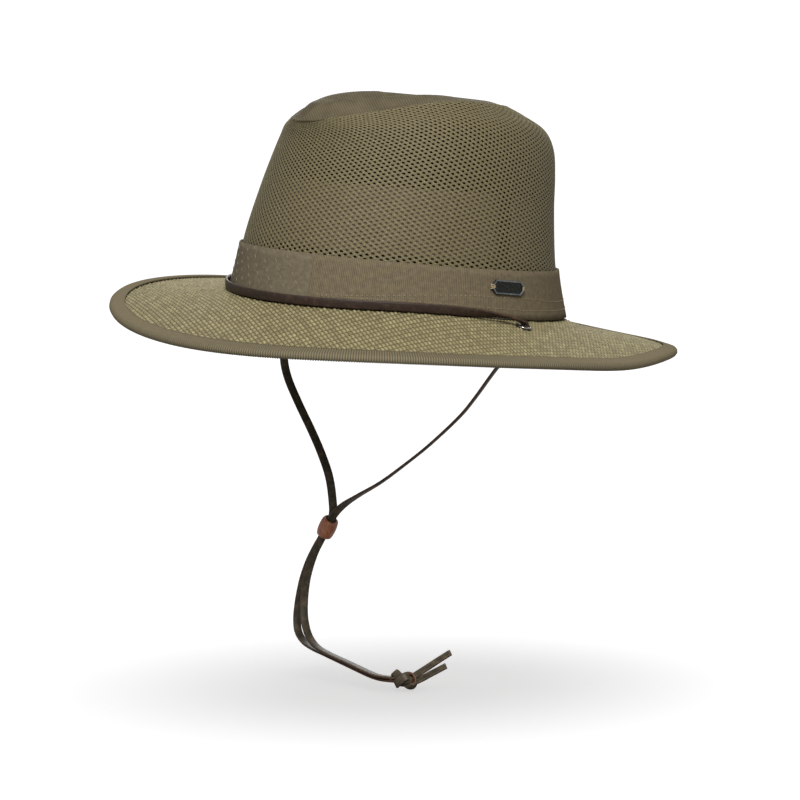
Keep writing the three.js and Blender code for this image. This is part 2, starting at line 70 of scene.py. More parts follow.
camera_data = bpy.data.cameras.new("hat_camera")
camera_data.sensor_width = SENSOR
camera_data.lens = SENSOR * FOCAL_PIXELS / IMAGE_PIXELS
camera = bpy.data.objects.new("hat_camera", camera_data)
camera.matrix_world = Matrix((camera_right, camera_up, -forward)).transposed().to_4x4()
camera.location = (
    math.sin(swing) * CAMERA["distance"] * MM,
    -math.cos(swing) * CAMERA["distance"] * MM,
    CAMERA["height"] * MM,
)
scene.collection.objects.link(camera)
scene.camera = camera
print("lens", round(camera_data.lens, 2), "mm")

# %% [markdown]
# Every finish is a small node tree. One function adds a node, sets its values and joins it to what
# feeds it, and another turns a colour as a screen shows it into the linear numbers that light adds up in.
# A ramp's stops are given as places and colours.

# %% Helpers for materials
def linear(hex_colour):
    channels = [int(hex_colour[i:i + 2], 16) / 255 for i in (1, 3, 5)]
    straight = [c / 12.92 if c <= 0.04045 else ((c + 0.055) / 1.055) ** 2.4 for c in channels]
    return (*straight, 1)


def add_node(tree, kind, inputs=None, stops=(), **settings):
    node = tree.nodes.new(kind)
    for name, value in settings.items():
        setattr(node, name, value)
    for name, value in (inputs or {}).items():
        if isinstance(value, bpy.types.NodeSocket):
            tree.links.new(value, node.inputs[name])
        else:
            node.inputs[name].default_value = value
    for place, colour in stops[1:-1]:
        node.color_ramp.elements.new(place).color = linear(colour)
    for end in (0, -1) if stops else ():
        node.color_ramp.elements[end].position = stops[end][0]
        node.color_ramp.elements[end].color = linear(stops[end][1])
    return node


def new_material(name, **sockets):
    material = bpy.data.materials.new(name)
    material.use_nodes = True
    shader = material.node_tree.nodes["Principled BSDF"]
    for socket, value in sockets.items():
        shader.inputs[socket.replace("_", " ")].default_value = value
    return material, material.node_tree, shader


# %% [markdown]
# A product picture like this is lit softly. The camera sees a white room, but the room's own light is
# weak, so that one broad soft box beside the camera can give the crown its lighter middle and darker
# sides, and a second one keeps the back from going black. Light linking lets both fall on the hat only.
# The Standard view keeps white as white.

# %% Light
ROOM_LIGHT = 0.36
ROOM_SEEN = 1.12
SOFT_BOXES = [
    {"name": "key_box", "azimuth": 44, "rise": 38, "distance": 1.9, "size": 0.9, "watts": 50},
    {"name": "back_box", "azimuth": 225, "rise": 20, "distance": 1.9, "size": 1.2, "watts": 14},
]
scene.view_settings.view_transform = "Standard"
world = bpy.data.worlds.new("white_room")
world.use_nodes = True
room = world.node_tree.nodes["Background"]
room.inputs["Color"].default_value = (1, 1, 1, 1)
ray = add_node(world.node_tree, "ShaderNodeLightPath")
strength = add_node(
    world.node_tree,
    "ShaderNodeMapRange",
    {"Value": ray.outputs["Is Camera Ray"], "To Min": ROOM_LIGHT, "To Max": ROOM_SEEN},
)
world.node_tree.links.new(strength.outputs["Result"], room.inputs["Strength"])
scene.world = world

hat_pieces = bpy.data.collections.new("hat_pieces")
for box in SOFT_BOXES:
    lamp = bpy.data.lights.new(box["name"], "AREA")
    lamp.size = box["size"]
    lamp.energy = box["watts"]
    holder = bpy.data.objects.new(box["name"], lamp)
    turn = math.radians(box["azimuth"])
    rise = math.radians(box["rise"])
    away = Vector((math.sin(turn) * math.cos(rise), -math.cos(turn) * math.cos(rise), math.sin(rise)))
    holder.location = away * box["distance"]
    holder.rotation_euler = away.to_track_quat("Z", "Y").to_euler()
    holder.light_linking.receiver_collection = hat_pieces
    scene.collection.objects.link(holder)
print("lights:", [box["name"] for box in SOFT_BOXES])

# %% [markdown]
# The floor is a white light table. It glows itself, which thins the hat's shadow, but only for the camera,
# so that the hat isn't lit from below. The rest comes from the room and from a wide lamp straight above it
# that lights nothing else. A very faint mottle keeps it from being one flat value. It passes under the
# knot. The hat leans a little in its picture, so in the hat's own frame it is the table that leans, sideways
# by the camera's roll and a few degrees towards the camera.

# %% Floor
FLOOR_LEVEL = -216
FLOOR_REACH = 8
FLOOR_GLOW = 0.52
FLOOR_LAMP = {"strength": 1.0, "spread": 54}
FLOOR_TIP = 3.8
FLOOR_UNDER = Vector((53, -5, FLOOR_LEVEL))
TABLE_STOPS = [(0.3, "#f3f3f4"), (0.7, "#f7f7f8")]

table, tree, shader = new_material("white_light_table", Roughness=0.9, Emission_Color=(1, 1, 1, 1))
ray = add_node(tree, "ShaderNodeLightPath")
glow = add_node(tree, "ShaderNodeMapRange", {"Value": ray.outputs["Is Camera Ray"], "To Max": FLOOR_GLOW})
tree.links.new(glow.outputs["Result"], shader.inputs["Emission Strength"])
grit = add_node(tree, "ShaderNodeTexNoise", {"Scale": 6.0, "Detail": 3.0})
table_shade = add_node(tree, "ShaderNodeValToRGB", {"Fac": grit.outputs["Fac"]}, stops=TABLE_STOPS)
tree.links.new(table_shade.outputs["Color"], shader.inputs["Base Color"])

to_camera = Matrix.Rotation(swing, 4, "Z")
sideways = Matrix.Rotation(-roll, 4, "Y")
towards = Matrix.Rotation(math.radians(-FLOOR_TIP), 4, "X")
floor_lean = to_camera @ sideways @ towards @ to_camera.inverted()
floor_mesh = bpy.data.meshes.new("studio_floor")
bm = bmesh.new()
bmesh.ops.create_grid(bm, x_segments=2, y_segments=2, size=FLOOR_REACH)
bmesh.ops.transform(bm, verts=bm.verts, matrix=Matrix.Translation(FLOOR_UNDER * MM) @ floor_lean)
bm.to_mesh(floor_mesh)
bm.free()
floor_mesh.materials.append(table)
floor = bpy.data.objects.new("studio_floor", floor_mesh)
scene.collection.objects.link(floor)

table_only = bpy.data.collections.new("table_only")
table_only.objects.link(floor)
lamp = bpy.data.lights.new("table_lamp", "SUN")
lamp.energy = FLOOR_LAMP["strength"]
lamp.angle = math.radians(FLOOR_LAMP["spread"])
holder = bpy.data.objects.new("table_lamp", lamp)
holder.rotation_euler = floor_lean.to_euler()
holder.light_linking.receiver_collection = table_only
scene.collection.objects.link(holder)
print("floor at", FLOOR_LEVEL, "mm under the knot")

# %% [markdown]
# Most pieces of a hat are cloth bent round a form. So the form comes first, as plain functions that
# give a point in millimetres for an angle round the hat (0 is the front, a quarter turn is the
# wearer's left) and a share of the way up or out. They repeat the frame's own sizes.

# %% The form of the crown
CROWN_COLUMNS = ("level", "width", "front", "back")
CROWN_SECTIONS = [
    (0, 84.5, 101.5, 101.5),
    (30, 82, 98, 91),
    (60, 79, 90, 86.3),
    (80, 76.5, 84.5, 85.8),
    (95, 73.5, 81.4, 83.9),
    (105.5, 69, 81.2, 75.5),
    (112.5, 61, 82, 57.5),
    (116.5, 56, 82.6, 42),
]
SEAM_LEVEL = CROWN_SECTIONS[-1][0]
FRONT_DIP = {"depth": 19.1, "angle": -10.5, "power": 1.45}
BACK_RISE = {"height": 0.8, "angle": -140, "power": 2}
DIP_POWER = 4
PINCH = {"depth": 2.5, "angle": 40, "spread": 17, "power": 2.5}
SADDLE = {"rise": 3, "angle": 62, "spread": 32, "fade": 40}


def through_keys(keys, share):
    place = share * (len(keys) - 1)
    cell = min(int(place), len(keys) - 2)
    t = place - cell
    b = keys[cell]
    c = keys[cell + 1]
    a = keys[cell - 1] if cell > 0 else 2 * b - c
    d = keys[cell + 2] if cell + 2 < len(keys) else 2 * c - b
    return b + 0.5 * t * (c - a + t * (2 * a - 5 * b + 4 * c - d + t * (3 * (b - c) + d - a)))


def section_at(share):
    columns = enumerate(CROWN_COLUMNS)
    return {name: through_keys([row[i] for row in CROWN_SECTIONS], share) for i, name in columns}


def share_at_level(level):
    low, high = 0.0, 1.0
    for _ in range(30):
        middle = (low + high) / 2
        if section_at(middle)["level"] < level:
            low = middle
        else:
            high = middle
    return (low + high) / 2


def facing(angle, degrees):
    return max(0, math.cos(angle - math.radians(degrees)))


def hump(angle, centre, spread):
    from_front = abs(math.atan2(math.sin(angle), math.cos(angle)))
    return math.exp(-((from_front - math.radians(centre)) / math.radians(spread)) ** 2)


def crown_point(angle, share):
    section = section_at(share)
    reach = section["front"] if math.cos(angle) > 0 else section["back"]
    height = section["level"] / SEAM_LEVEL
    drop = FRONT_DIP["depth"] * facing(angle, FRONT_DIP["angle"]) ** FRONT_DIP["power"]
    lift = BACK_RISE["height"] * facing(angle, BACK_RISE["angle"]) ** BACK_RISE["power"]
    dent = PINCH["depth"] * max(0, height) ** PINCH["power"] * hump(angle, PINCH["angle"], PINCH["spread"])
    low = max(0, 1 - section["level"] / SADDLE["fade"]) ** 2
    saddle = SADDLE["rise"] * low * hump(angle, SADDLE["angle"], SADDLE["spread"])
    x = section["width"] * math.sin(angle)
    y = -reach * math.cos(angle)
    keep = 1 - dent / math.hypot(x, y)
    return Vector((x * keep, y * keep, section["level"] + height**DIP_POWER * (lift - drop) + saddle))


def normal_of(surface, angle, share):
    step = 1e-3
    along = surface(angle + step, share) - surface(angle - step, share)
    up = surface(angle, min(1, share + step)) - surface(angle, max(0, share - step))
    return along.cross(up).normalized()


def off_crown(angle, share, distance):
    return crown_point(angle, share) + normal_of(crown_point, angle, share) * distance


print("crown at the left side, half way up:", [round(v, 1) for v in crown_point(math.pi / 2, 0.5)])

# %% [markdown]
# The brim leaves the oval of the head opening squarely and droops as it goes out, more at the front
# and the back, behind the ears and on the wearer's left. Beside the front the opening itself stands a
# little higher.

# %% The form of the brim
GAP = 0.3
BRIM_WIDTH = 66.5
BRIM_WALL = 2
BRIM_TUCK = 2.5
DROOP = {"mean": 11.25, "front": 4.2, "ends": 4.95, "corners": 1.3, "left": 6.3}
EAR_SAG = {"depth": 2.2, "angle": 103, "spread": 16}
BACK_FALL = {"depth": 4.8, "angle": 180, "spread": 45}
FALL_PEAK = 27 / 256
DROOP_CURVE = 0.15
OVAL = (CROWN_SECTIONS[0][1], CROWN_SECTIONS[0][2])


def oval_out(angle):
    return Vector((math.sin(angle) / OVAL[0], -math.cos(angle) / OVAL[1], 0)).normalized()


def brim_level(angle, run):
    part = max(0, run) / BRIM_WIDTH
    droop = (
        DROOP["mean"]
        + DROOP["front"] * math.cos(angle)
        + DROOP["ends"] * math.cos(2 * angle)
        + DROOP["corners"] * math.cos(4 * angle)
        + DROOP["left"] * math.sin(angle)
        + EAR_SAG["depth"] * hump(angle, EAR_SAG["angle"], EAR_SAG["spread"])
    )
    saddle = SADDLE["rise"] * hump(angle, SADDLE["angle"], SADDLE["spread"]) * (1 - part) ** 3
    behind = BACK_FALL["depth"] * hump(angle, BACK_FALL["angle"], BACK_FALL["spread"])
    fall = behind * part * (1 - part) ** 3 / FALL_PEAK
    return saddle - GAP - fall - droop * (part * (1 - DROOP_CURVE) + part * part * DROOP_CURVE)


def brim_point(angle, run):
    base = Vector((OVAL[0] * math.sin(angle), -OVAL[1] * math.cos(angle), 0))
    place = base + oval_out(angle) * run
    place.z = brim_level(angle, run)
    return place


def brim_up(angle, run):
    step = 1e-3
    along = brim_point(angle + step, run) - brim_point(angle - step, run)
    out = brim_point(angle, run + step * 100) - brim_point(angle, run)
    return out.cross(along).normalized()


print("brim edge at the front:", [round(v, 1) for v in brim_point(0, BRIM_WIDTH)])

# %% [markdown]
# Cloth, ribbon and lace all start as the same thing: a flat grid made by one operator, which is then
# bent onto the form. The flat grid's own millimetres are kept as a UV map, so that a weave can follow
# the cloth round the hat. Turned parts start as a ring of points that is spun round an axis. A last helper
# links the finished mesh into the scene and hides the frame's nodes that it stands for.

# %% Helpers for cloth, lace and turned parts
WELD = 1e-7


def bent_grid(columns, rows, place, size, close=True):
    bm = bmesh.new()
    cloth = bm.loops.layers.uv.new("cloth")
    bmesh.ops.create_grid(bm, x_segments=columns, y_segments=rows, size=0.5)
    for face in bm.faces:
        face.smooth = True
        for loop in face.loops:
            loop[cloth].uv = ((loop.vert.co.x + 0.5) * size[0], (loop.vert.co.y + 0.5) * size[1])
    for vert in bm.verts:
        vert.co = place(vert.co.x + 0.5, vert.co.y + 0.5) * MM
    if close:
        bmesh.ops.remove_doubles(bm, verts=bm.verts, dist=WELD)
    return bm


def smooth_faces(bm):
    for face in bm.faces:
        face.smooth = True


def spun_ring(profile, middle, side, axis, steps):
    bm = bmesh.new()
    ring = [bm.verts.new((middle + side * r + axis * h) * MM) for r, h in profile]
    edges = [bm.edges.new((ring[i], ring[(i + 1) % len(ring)])) for i in range(len(ring))]
    turned = {"cent": middle * MM, "axis": axis, "angle": 2 * math.pi, "steps": steps, "use_merge": True}
    bmesh.ops.spin(bm, geom=ring + edges, **turned)
    bmesh.ops.remove_doubles(bm, verts=bm.verts, dist=WELD)
    bmesh.ops.recalc_face_normals(bm, faces=bm.faces)
    smooth_faces(bm)
    return bm


def finish_piece(bm, name, material, slot, *nodes, wall=0):
    mesh = bpy.data.meshes.new(name)
    bm.to_mesh(mesh)
    bm.free()
    mesh.materials.append(material)
    piece = bpy.data.objects.new(name, mesh)
    scene.collection.objects.link(piece)
    hat_pieces.objects.link(piece)
    if wall:
        thick = piece.modifiers.new("cloth_thickness", "SOLIDIFY")
        thick.thickness = wall * MM
        thick.offset = -1
    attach(piece, "root")
    if nodes:
        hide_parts(*nodes)
    print(name, len(mesh.polygons), "faces")
    return piece


# %% [markdown]
# The lace is vegetable-tanned leather, cut flat and dyed. Its smooth grain side is a dark greenish
# brown with a dull wax shine, and its flesh side is rust brown with a short nap. The UV map runs round
# the lace, so one half of it can take each side's colour, and the cut edges lie between them.

# %% Lace leather
LACE_ROUND = 13.2
FLESH_FROM = LACE_ROUND / 2 - 0.6
FLESH_FULL = LACE_ROUND / 2 + 0.4
GRAIN_MM = 0.9


def lace_leather(name, grain_stops, flesh_stops):
    material, tree, shader = new_material(name, Roughness=0.5, Specular_IOR_Level=0.25)
    cloth = add_node(tree, "ShaderNodeUVMap", uv_map="cloth")
    split = add_node(tree, "ShaderNodeSeparateXYZ", {"Vector": cloth.outputs["UV"]})
    place = add_node(tree, "ShaderNodeTexCoord")
    clouds = {"Scale": 1 / (GRAIN_MM * 4 * MM), "Detail": 5.0, "Roughness": 0.62}
    grain = add_node(tree, "ShaderNodeTexNoise", {"Vector": place.outputs["Object"], **clouds})
    dark = add_node(tree, "ShaderNodeValToRGB", {"Fac": grain.outputs["Fac"]}, stops=grain_stops)
    rust = add_node(tree, "ShaderNodeValToRGB", {"Fac": grain.outputs["Fac"]}, stops=flesh_stops)
    on_flesh = add_node(
        tree,
        "ShaderNodeMapRange",
        {"Value": split.outputs["X"], "From Min": FLESH_FROM, "From Max": FLESH_FULL},
    )
    sides = {"Factor": on_flesh.outputs["Result"], 6: dark.outputs["Color"], 7: rust.outputs["Color"]}
    mix = add_node(tree, "ShaderNodeMix", sides, data_type="RGBA")
    tree.links.new(mix.outputs[2], shader.inputs["Base Color"])
    fine = {"Scale": 1 / (GRAIN_MM * MM), "Detail": 3.0}
    pores = add_node(tree, "ShaderNodeTexNoise", {"Vector": place.outputs["Object"], **fine})
    pitted = {"Height": pores.outputs["Fac"], "Strength": 0.35, "Distance": 0.4 * MM}
    bump = add_node(tree, "ShaderNodeBump", pitted)
    tree.links.new(bump.outputs["Normal"], shader.inputs["Normal"])
    return material


# The strands, the knot and the cut ends take a lighter copy of the lace's colours than the front lace:
# painted light that lifts them where they hang in the shade under the hat.
STRAND_GRAIN_PAINTED_LIGHTER = [(0.3, "#2d2922"), (0.52, "#423a2d"), (0.72, "#5e4f3d")]
STRAND_FLESH_PAINTED_LIGHTER = [(0.3, "#3e2011"), (0.52, "#532e19"), (0.72, "#683e24")]
strand_leather_painted_lighter = lace_leather("dyed_leather_lace_painted_lighter", STRAND_GRAIN_PAINTED_LIGHTER, STRAND_FLESH_PAINTED_LIGHTER)
front_leather = lace_leather(
    "dyed_leather_front_lace",
    [(0.3, "#251c16"), (0.52, "#30241d"), (0.72, "#3e3025")],
    [(0.3, "#2a1d12"), (0.52, "#3a2718"), (0.72, "#4b3721")],
)

# %% [markdown]
# A flat lace is a strip with rounded edges that follows a route and twists as it goes. Each row of a
# route is a point and the heading, in plan, of the strip's width. A curve with a bevel would hold its
# own idea of twist, so the strip is a grid rolled into a flat tube, with both ends filled.

# %% Lace strips
LACE_WIDTH = 5
LACE_THICK = 1.6
LACE_SIDES = 12
LACE_SQUARE = 0.45


def lace_section(turn):
    c = math.cos(2 * math.pi * turn)
    s = math.sin(2 * math.pi * turn)
    wide = math.copysign(abs(c) ** LACE_SQUARE, c) * LACE_WIDTH / 2
    thick = math.copysign(abs(s) ** LACE_SQUARE, s) * LACE_THICK / 2
    return wide, thick


def lace_strip(stations, rows_per_station):
    places = [[station[0][axis] for station in stations] for axis in range(3)]
    widths = [[station[1][axis] for station in stations] for axis in range(3)]

    def spot(share):
        return Vector([through_keys(keys, share) for keys in places])

    def place(round_share, share):
        step = 0.25 / len(stations)
        along = (spot(min(1, share + step)) - spot(max(0, share - step))).normalized()
        wide = Vector([through_keys(keys, share) for keys in widths])
        across = (wide - along * wide.dot(along)).normalized()
        through = along.cross(across)
        w, t = lace_section(round_share)
        return spot(share) + across * w + through * t

    rows = (len(stations) - 1) * rows_per_station
    line = [spot(i / rows) for i in range(rows + 1)]
    length = sum((line[i + 1] - line[i]).length for i in range(rows))
    bm = bent_grid(LACE_SIDES, rows, place, (LACE_ROUND, length))
    bmesh.ops.holes_fill(bm, edges=[edge for edge in bm.edges if edge.is_boundary])
    bmesh.ops.recalc_face_normals(bm, faces=bm.faces)
    return bm, line, length


def route_stations(rows):
    stations = []
    for x, y, z, degrees in rows:
        bearing = math.radians(degrees)
        stations.append((Vector((x, y, z)), Vector((math.cos(bearing), math.sin(bearing), 0))))
    return stations


# %% [markdown]
# The two strands drop from the eyelets, meet in the bead, hang on to the floor and end in one knot.
# Their routes are the frame's own points. Here they also run on into the knot, and so do the cut ends.

# %% Routes of the strands
STRAND_LEFT = [
    (97, 3, -5.45, 60), (93.5, 3, -13.5, 100), (81, 3, -26, 117), (65, 3, -46.6, 121),
    (54, 3, -59, 121), (33, 3, -77.8, 121), (15, 3, -91.9, 120), (-4, 3, -105.8, 112),
    (-22, 2.7, -116.9, 92), (-33.6, 2.5, -124.6, 68), (-41.8, 2.4, -132.4, 53), (-46.4, 2.4, -140.8, 48),
    (-50.7, 2.3, -148.4, 48), (-54.4, 1.8, -156, 50), (-57.4, 1.6, -164.5, 52), (-59.6, 1.5, -174, 55),
    (-59.9, 1.2, -182.5, 58), (-58.8, 0.6, -191, 62), (-55.9, -0.4, -199, 68), (-50, -1.6, -206.6, 74),
    (-41, -2.8, -211.3, 78), (-29, -3.6, -213, 80), (-7, -7, -213.1, 80), (17, -11.4, -213, 82),
    (27, -12.2, -212.6, 86), (35, -12.2, -211.4, 90),
]
STRAND_RIGHT = [
    (-97, 3, -3.25, 120), (-98.4, 3, -14, 90), (-101, 3, -31, 60), (-101.5, 3, -45.5, 50),
    (-95.8, 3, -57.8, 47), (-83.4, 3, -71.9, 47), (-70.3, 3, -85.2, 47), (-59.3, 3, -97.4, 47),
    (-50.4, 3.3, -110.2, 47), (-46, 3.8, -123, 48), (-44.2, 3.8, -133, 48), (-47.9, 3.8, -140.8, 48),
    (-52.2, 3.8, -148.4, 48), (-57, 4, -156, 48), (-61.4, 4, -164.5, 48), (-65, 4, -174.6, 50),
    (-66.8, 4, -183.3, 52), (-67.7, 3.9, -192.2, 56), (-67.4, 3.6, -200.8, 62), (-64.6, 3.1, -208.4, 70),
    (-57.6, 2.6, -213.2, 76), (-47, 1.2, -214.9, 79), (-30, -1.7, -215, 80), (-8, -5.7, -215, 80),
    (17, -10.1, -215, 82), (27, -11, -214.6, 86), (35.4, -11, -213.4, 90),
]
TAIL_LEFT = [
    (47.5, -3.3, -207.5, 174), (52, 1.5, -202.2, 174), (55.8, 5.6, -197.6, 172), (59.9, 10, -192.8, 170),
]
TAIL_RIGHT = [
    (50.6, -3.6, -209.9, 174), (54.7, 0.8, -205.8, 174), (57.5, 3.8, -203.1, 172), (60.4, 6.9, -200.2, 170),
]
TAIL_ROOTS = {"left": (43.8, -7.2, -211.7, 174), "right": (46.6, -7.8, -213.1, 174)}
STRAND_ENDS = {"left": (39.8, -10.4, -210.8, 92), "right": (40, -9.8, -212.6, 92)}

# %% [markdown]
# Each route becomes a piece of its own. A strand's middle line and length are kept, because the frame asks
# for them once the bead and the knot are there. A few rows between each two points keep the bends smooth.

# %% Strands and cut ends
STRAND_ROWS = 5
END_ROWS = 6

strands = {}
for side, rows in {"left": STRAND_LEFT, "right": STRAND_RIGHT}.items():
    bm, line, length = lace_strip(route_stations(rows + [STRAND_ENDS[side]]), STRAND_ROWS)
    piece = finish_piece(bm, f"chin_lace_{side}", strand_leather_painted_lighter, "lace_leather", f"cord_{side}")
    strands[side] = {"piece": piece, "line": line, "length": length}
    print(side, "strand is", round(length, 1), "mm long")

lace_ends = []
for side, rows in {"left": TAIL_LEFT, "right": TAIL_RIGHT}.items():
    bm, _, length = lace_strip(route_stations([TAIL_ROOTS[side]] + rows), END_ROWS)
    piece = finish_piece(bm, f"lace_end_{side}", strand_leather_painted_lighter, "lace_leather", f"cord_tail_{side}")
    lace_ends.append(piece)
    print(side, "cut end is", round(length, 1), "mm long")

# %% [markdown]
# The knot is an overhand knot pulled tight in the doubled lace. The shape of such a knot is the
# trefoil, which two sums of sines draw; flattened into the lump's size and given the lace's section,
# it shows the loop going round and the bight tucked through it. A small core fills its middle.

# %% Knot
KNOT = {"x": 43.5, "y": -9, "z": -210.8, "turn": 20, "length": 17, "width": 12, "height": 9.6}
KNOT_SHY = {"length": 0.9, "width": 1.4, "height": 1.9}
KNOT_ROWS = 108
KNOT_RUN = 60
KNOT_TIGHT = 0.95
KNOT_UP = Vector((0, 0, 0.5))
KNOT_CORE = {"length": 0.34, "width": 0.34, "height": 0.36}
knot_turn = Matrix.Rotation(math.radians(KNOT["turn"]), 3, "Z")
knot_middle = Vector((KNOT["x"], KNOT["y"], KNOT["z"]))


def knot_spot(share):
    t = 2 * math.pi * share
    x = (math.sin(t) + 2 * math.sin(2 * t)) / 3 * (KNOT["length"] / 2 - KNOT_SHY["length"])
    y = (math.cos(t) - 2 * math.cos(2 * t)) / 3 * (KNOT["width"] / 2 - KNOT_SHY["width"])
    z = -math.sin(3 * t) * (KNOT["height"] / 2 - KNOT_SHY["height"])
    return knot_turn @ Vector((x, y, z)) + knot_middle


def knot_place(round_share, share):
    step = 0.004
    along = (knot_spot(share + step) - knot_spot(share - step)).normalized()
    outward = (knot_spot(share) - knot_middle + KNOT_UP).normalized()
    across = along.cross(outward).normalized()
    through = across.cross(along)
    w, t = lace_section(round_share)
    return knot_spot(share) + across * w * KNOT_TIGHT + through * t


bm = bent_grid(LACE_SIDES, KNOT_ROWS, knot_place, (LACE_ROUND, KNOT_RUN))
core = Matrix.Scale(MM, 4) @ Matrix.Translation(knot_middle) @ knot_turn.to_4x4()
core = core @ Matrix.Diagonal((*[KNOT[name] * share for name, share in KNOT_CORE.items()], 1))
bmesh.ops.create_uvsphere(bm, u_segments=20, v_segments=12, radius=1, matrix=core)
bmesh.ops.recalc_face_normals(bm, faces=bm.faces)
knot = finish_piece(bm, "lace_knot", strand_leather_painted_lighter, "lace_leather", "cord_knot")

# %% [markdown]
# The slider bead is turned from a reddish hardwood and dyed with a thin stain, so the grain shows as
# fine streaks along its length. Stretched noise, turned to the bead's own lean, gives such streaks.

# %% Stained wood
BEAD = {"x": -47.1, "y": 3.1, "z": -140.8, "lean": 26, "diameter": 10.7, "length": 12.2, "bore": 7}
STREAK_MM = 0.7
STREAK_STRETCH = 0.12
WOOD_STOPS = [(0.3, "#72432a"), (0.5, "#905637"), (0.72, "#ac6e48")]

stained_wood, tree, shader = new_material("stained_turned_beech", Roughness=0.4, IOR=1.5, Coat_Weight=0.25)
place = add_node(tree, "ShaderNodeTexCoord")
along_grain = add_node(
    tree,
    "ShaderNodeMapping",
    {
        "Vector": place.outputs["Object"],
        "Rotation": (0, -math.radians(BEAD["lean"]), 0),
        "Scale": (1, 1, STREAK_STRETCH),
    },
)
streaks = add_node(
    tree,
    "ShaderNodeTexNoise",
    {
        "Vector": along_grain.outputs["Vector"],
        "Scale": 1 / (STREAK_MM * 2 * MM),
        "Detail": 4.0,
        "Distortion": 0.3,
    },
)
wood_shade = add_node(tree, "ShaderNodeValToRGB", {"Fac": streaks.outputs["Fac"]}, stops=WOOD_STOPS)
tree.links.new(wood_shade.outputs["Color"], shader.inputs["Base Color"])
ridged = {"Height": streaks.outputs["Fac"], "Strength": 0.2, "Distance": 0.3 * MM}
bump = add_node(tree, "ShaderNodeBump", ridged)
tree.links.new(bump.outputs["Normal"], shader.inputs["Normal"])

# %% [markdown]
# The bead's outline is half a barrel with a bore down the middle and a small softened lip. It is drawn as a
# few points in a closed ring and spun round the bead's axis, as on the lathe that made the real one.

# %% Bead
BEAD_LIP = 0.7
LIP_SOFT = BEAD_LIP * 0.4
LIP_START = 0.9
SWELL_STEPS = 10
SWELL_TO = 0.93
SWELL_POWER = 1.1
BEAD_STEPS = 40
bead_lean = math.radians(BEAD["lean"])
bead_axis = Vector((math.sin(bead_lean), 0, math.cos(bead_lean)))
bead_side = Vector((0, 1, 0))
bead_middle = Vector((BEAD["x"], BEAD["y"], BEAD["z"]))
bead_bore = BEAD["bore"] / 2
bead_swell = BEAD["diameter"] / 2 - bead_bore - BEAD_LIP
bead_half = BEAD["length"] / 2
bead_profile = [(bead_bore, -LIP_START * bead_half), (bead_bore + LIP_SOFT, -bead_half)]
for i in range(SWELL_STEPS + 1):
    t = SWELL_TO * (2 * i / SWELL_STEPS - 1)
    swell = bead_swell * math.sqrt(1 - t * t) ** SWELL_POWER
    bead_profile.append((bead_bore + BEAD_LIP + swell, t * bead_half))
bead_profile += [(bead_bore + LIP_SOFT, bead_half), (bead_bore, LIP_START * bead_half)]

bm = spun_ring(bead_profile, bead_middle, bead_side, bead_axis, BEAD_STEPS)
bead = finish_piece(bm, "slider_bead", stained_wood, "bead_wood", "cord_bead")

# %% [markdown]
# For each strand, its middle line is turned from millimetres into metres.

for side, pieces in {"left": [bead, knot, *lace_ends], "right": []}.items():
    strand = strands[side]
    line = [tuple(spot * MM) for spot in strand["line"]]

# %% [markdown]
# The crown is a warp-knit polyester net. Its yarn is dull and slightly fuzzy. The raised loops are painted
# paler than the sunken ones, a painted highlight on the raised yarn and painted shade on the sunken yarn,
# which an attribute of the mesh below tells the material, and a little sheen stands for the fuzz that
# catches light at the edge of the crown.

# %% Net yarn
FUZZ_MM = 1.6
YARN_PAINTED_SHADE_STOPS = [(0.03, "#554d38"), (0.3, "#645b40"), (0.62, "#888060")]
YARN_FINISH = {"Roughness": 0.65, "Specular_IOR_Level": 0.2, "Sheen_Weight": 0.03}

net_yarn, tree, shader = new_material("knitted_polyester_net", **YARN_FINISH)
raised = add_node(tree, "ShaderNodeAttribute", attribute_name="relief")
place = add_node(tree, "ShaderNodeTexCoord")
spots = {"Vector": place.outputs["Object"], "Scale": 1 / (FUZZ_MM * MM), "Detail": 4.0}
fuzz = add_node(tree, "ShaderNodeTexNoise", spots)
factors = {0: raised.outputs["Fac"], 1: fuzz.outputs["Fac"]}
height = add_node(tree, "ShaderNodeMath", factors, operation="MULTIPLY")
# Painted shade: the sunken yarn is coloured darker and the raised yarn paler, as light would fall on them.
yarn_painted_shade = add_node(tree, "ShaderNodeValToRGB", {"Fac": height.outputs["Value"]}, stops=YARN_PAINTED_SHADE_STOPS)
tree.links.new(yarn_painted_shade.outputs["Color"], shader.inputs["Base Color"])

# %% [markdown]
# The rows of the net climb a little as they go round. A grid operator gives the cells, still flat and one
# unit wide. Each cell is inset, and its middle is drawn into a short hole that slants down to the right and
# then deleted. The yarn along the two long sides of a hole stands higher, and the attribute remembers it
# for the painted shade of the yarn.

# %% Net crown
NET = {"foot": 25, "round": 548, "hole_long": (0.43, -0.365), "hole_wide": (0.165, 0.195)}
NET_STEP = {"round": (3.02, 0.87), "up": (0.59, 2.43)}
NODE_RELIEF = 0.35
YARN_RISE = 0.22
YARN_SINK = -0.12
NET_WALL = 0.32
NET_EDGE = 0.1
CELL_INSET = 0.1
MARKS = 200

foot_share = share_at_level(NET["foot"])
marks = [foot_share + (1 - foot_share) * i / MARKS for i in range(MARKS + 1)]
side_line = [crown_point(math.pi / 2, mark) for mark in marks]
climb = [0.0]
for i in range(MARKS):
    climb.append(climb[-1] + (side_line[i + 1] - side_line[i]).length)


def share_at_climb(part):
    target = part * climb[-1]
    i = next((k for k in range(MARKS) if climb[k + 1] >= target), MARKS - 1)
    return marks[i] + (marks[i + 1] - marks[i]) * (target - climb[i]) / (climb[i + 1] - climb[i])


net_climb = NET_STEP["round"][1] / NET_STEP["up"][1]
net_columns = round(NET["round"] / (NET_STEP["round"][0] - net_climb * NET_STEP["up"][0]))
net_rows = math.ceil(climb[-1] / NET_STEP["up"][1]) + 1


def net_height(column, row):
    return column * NET_STEP["round"][1] + row * NET_STEP["up"][1]


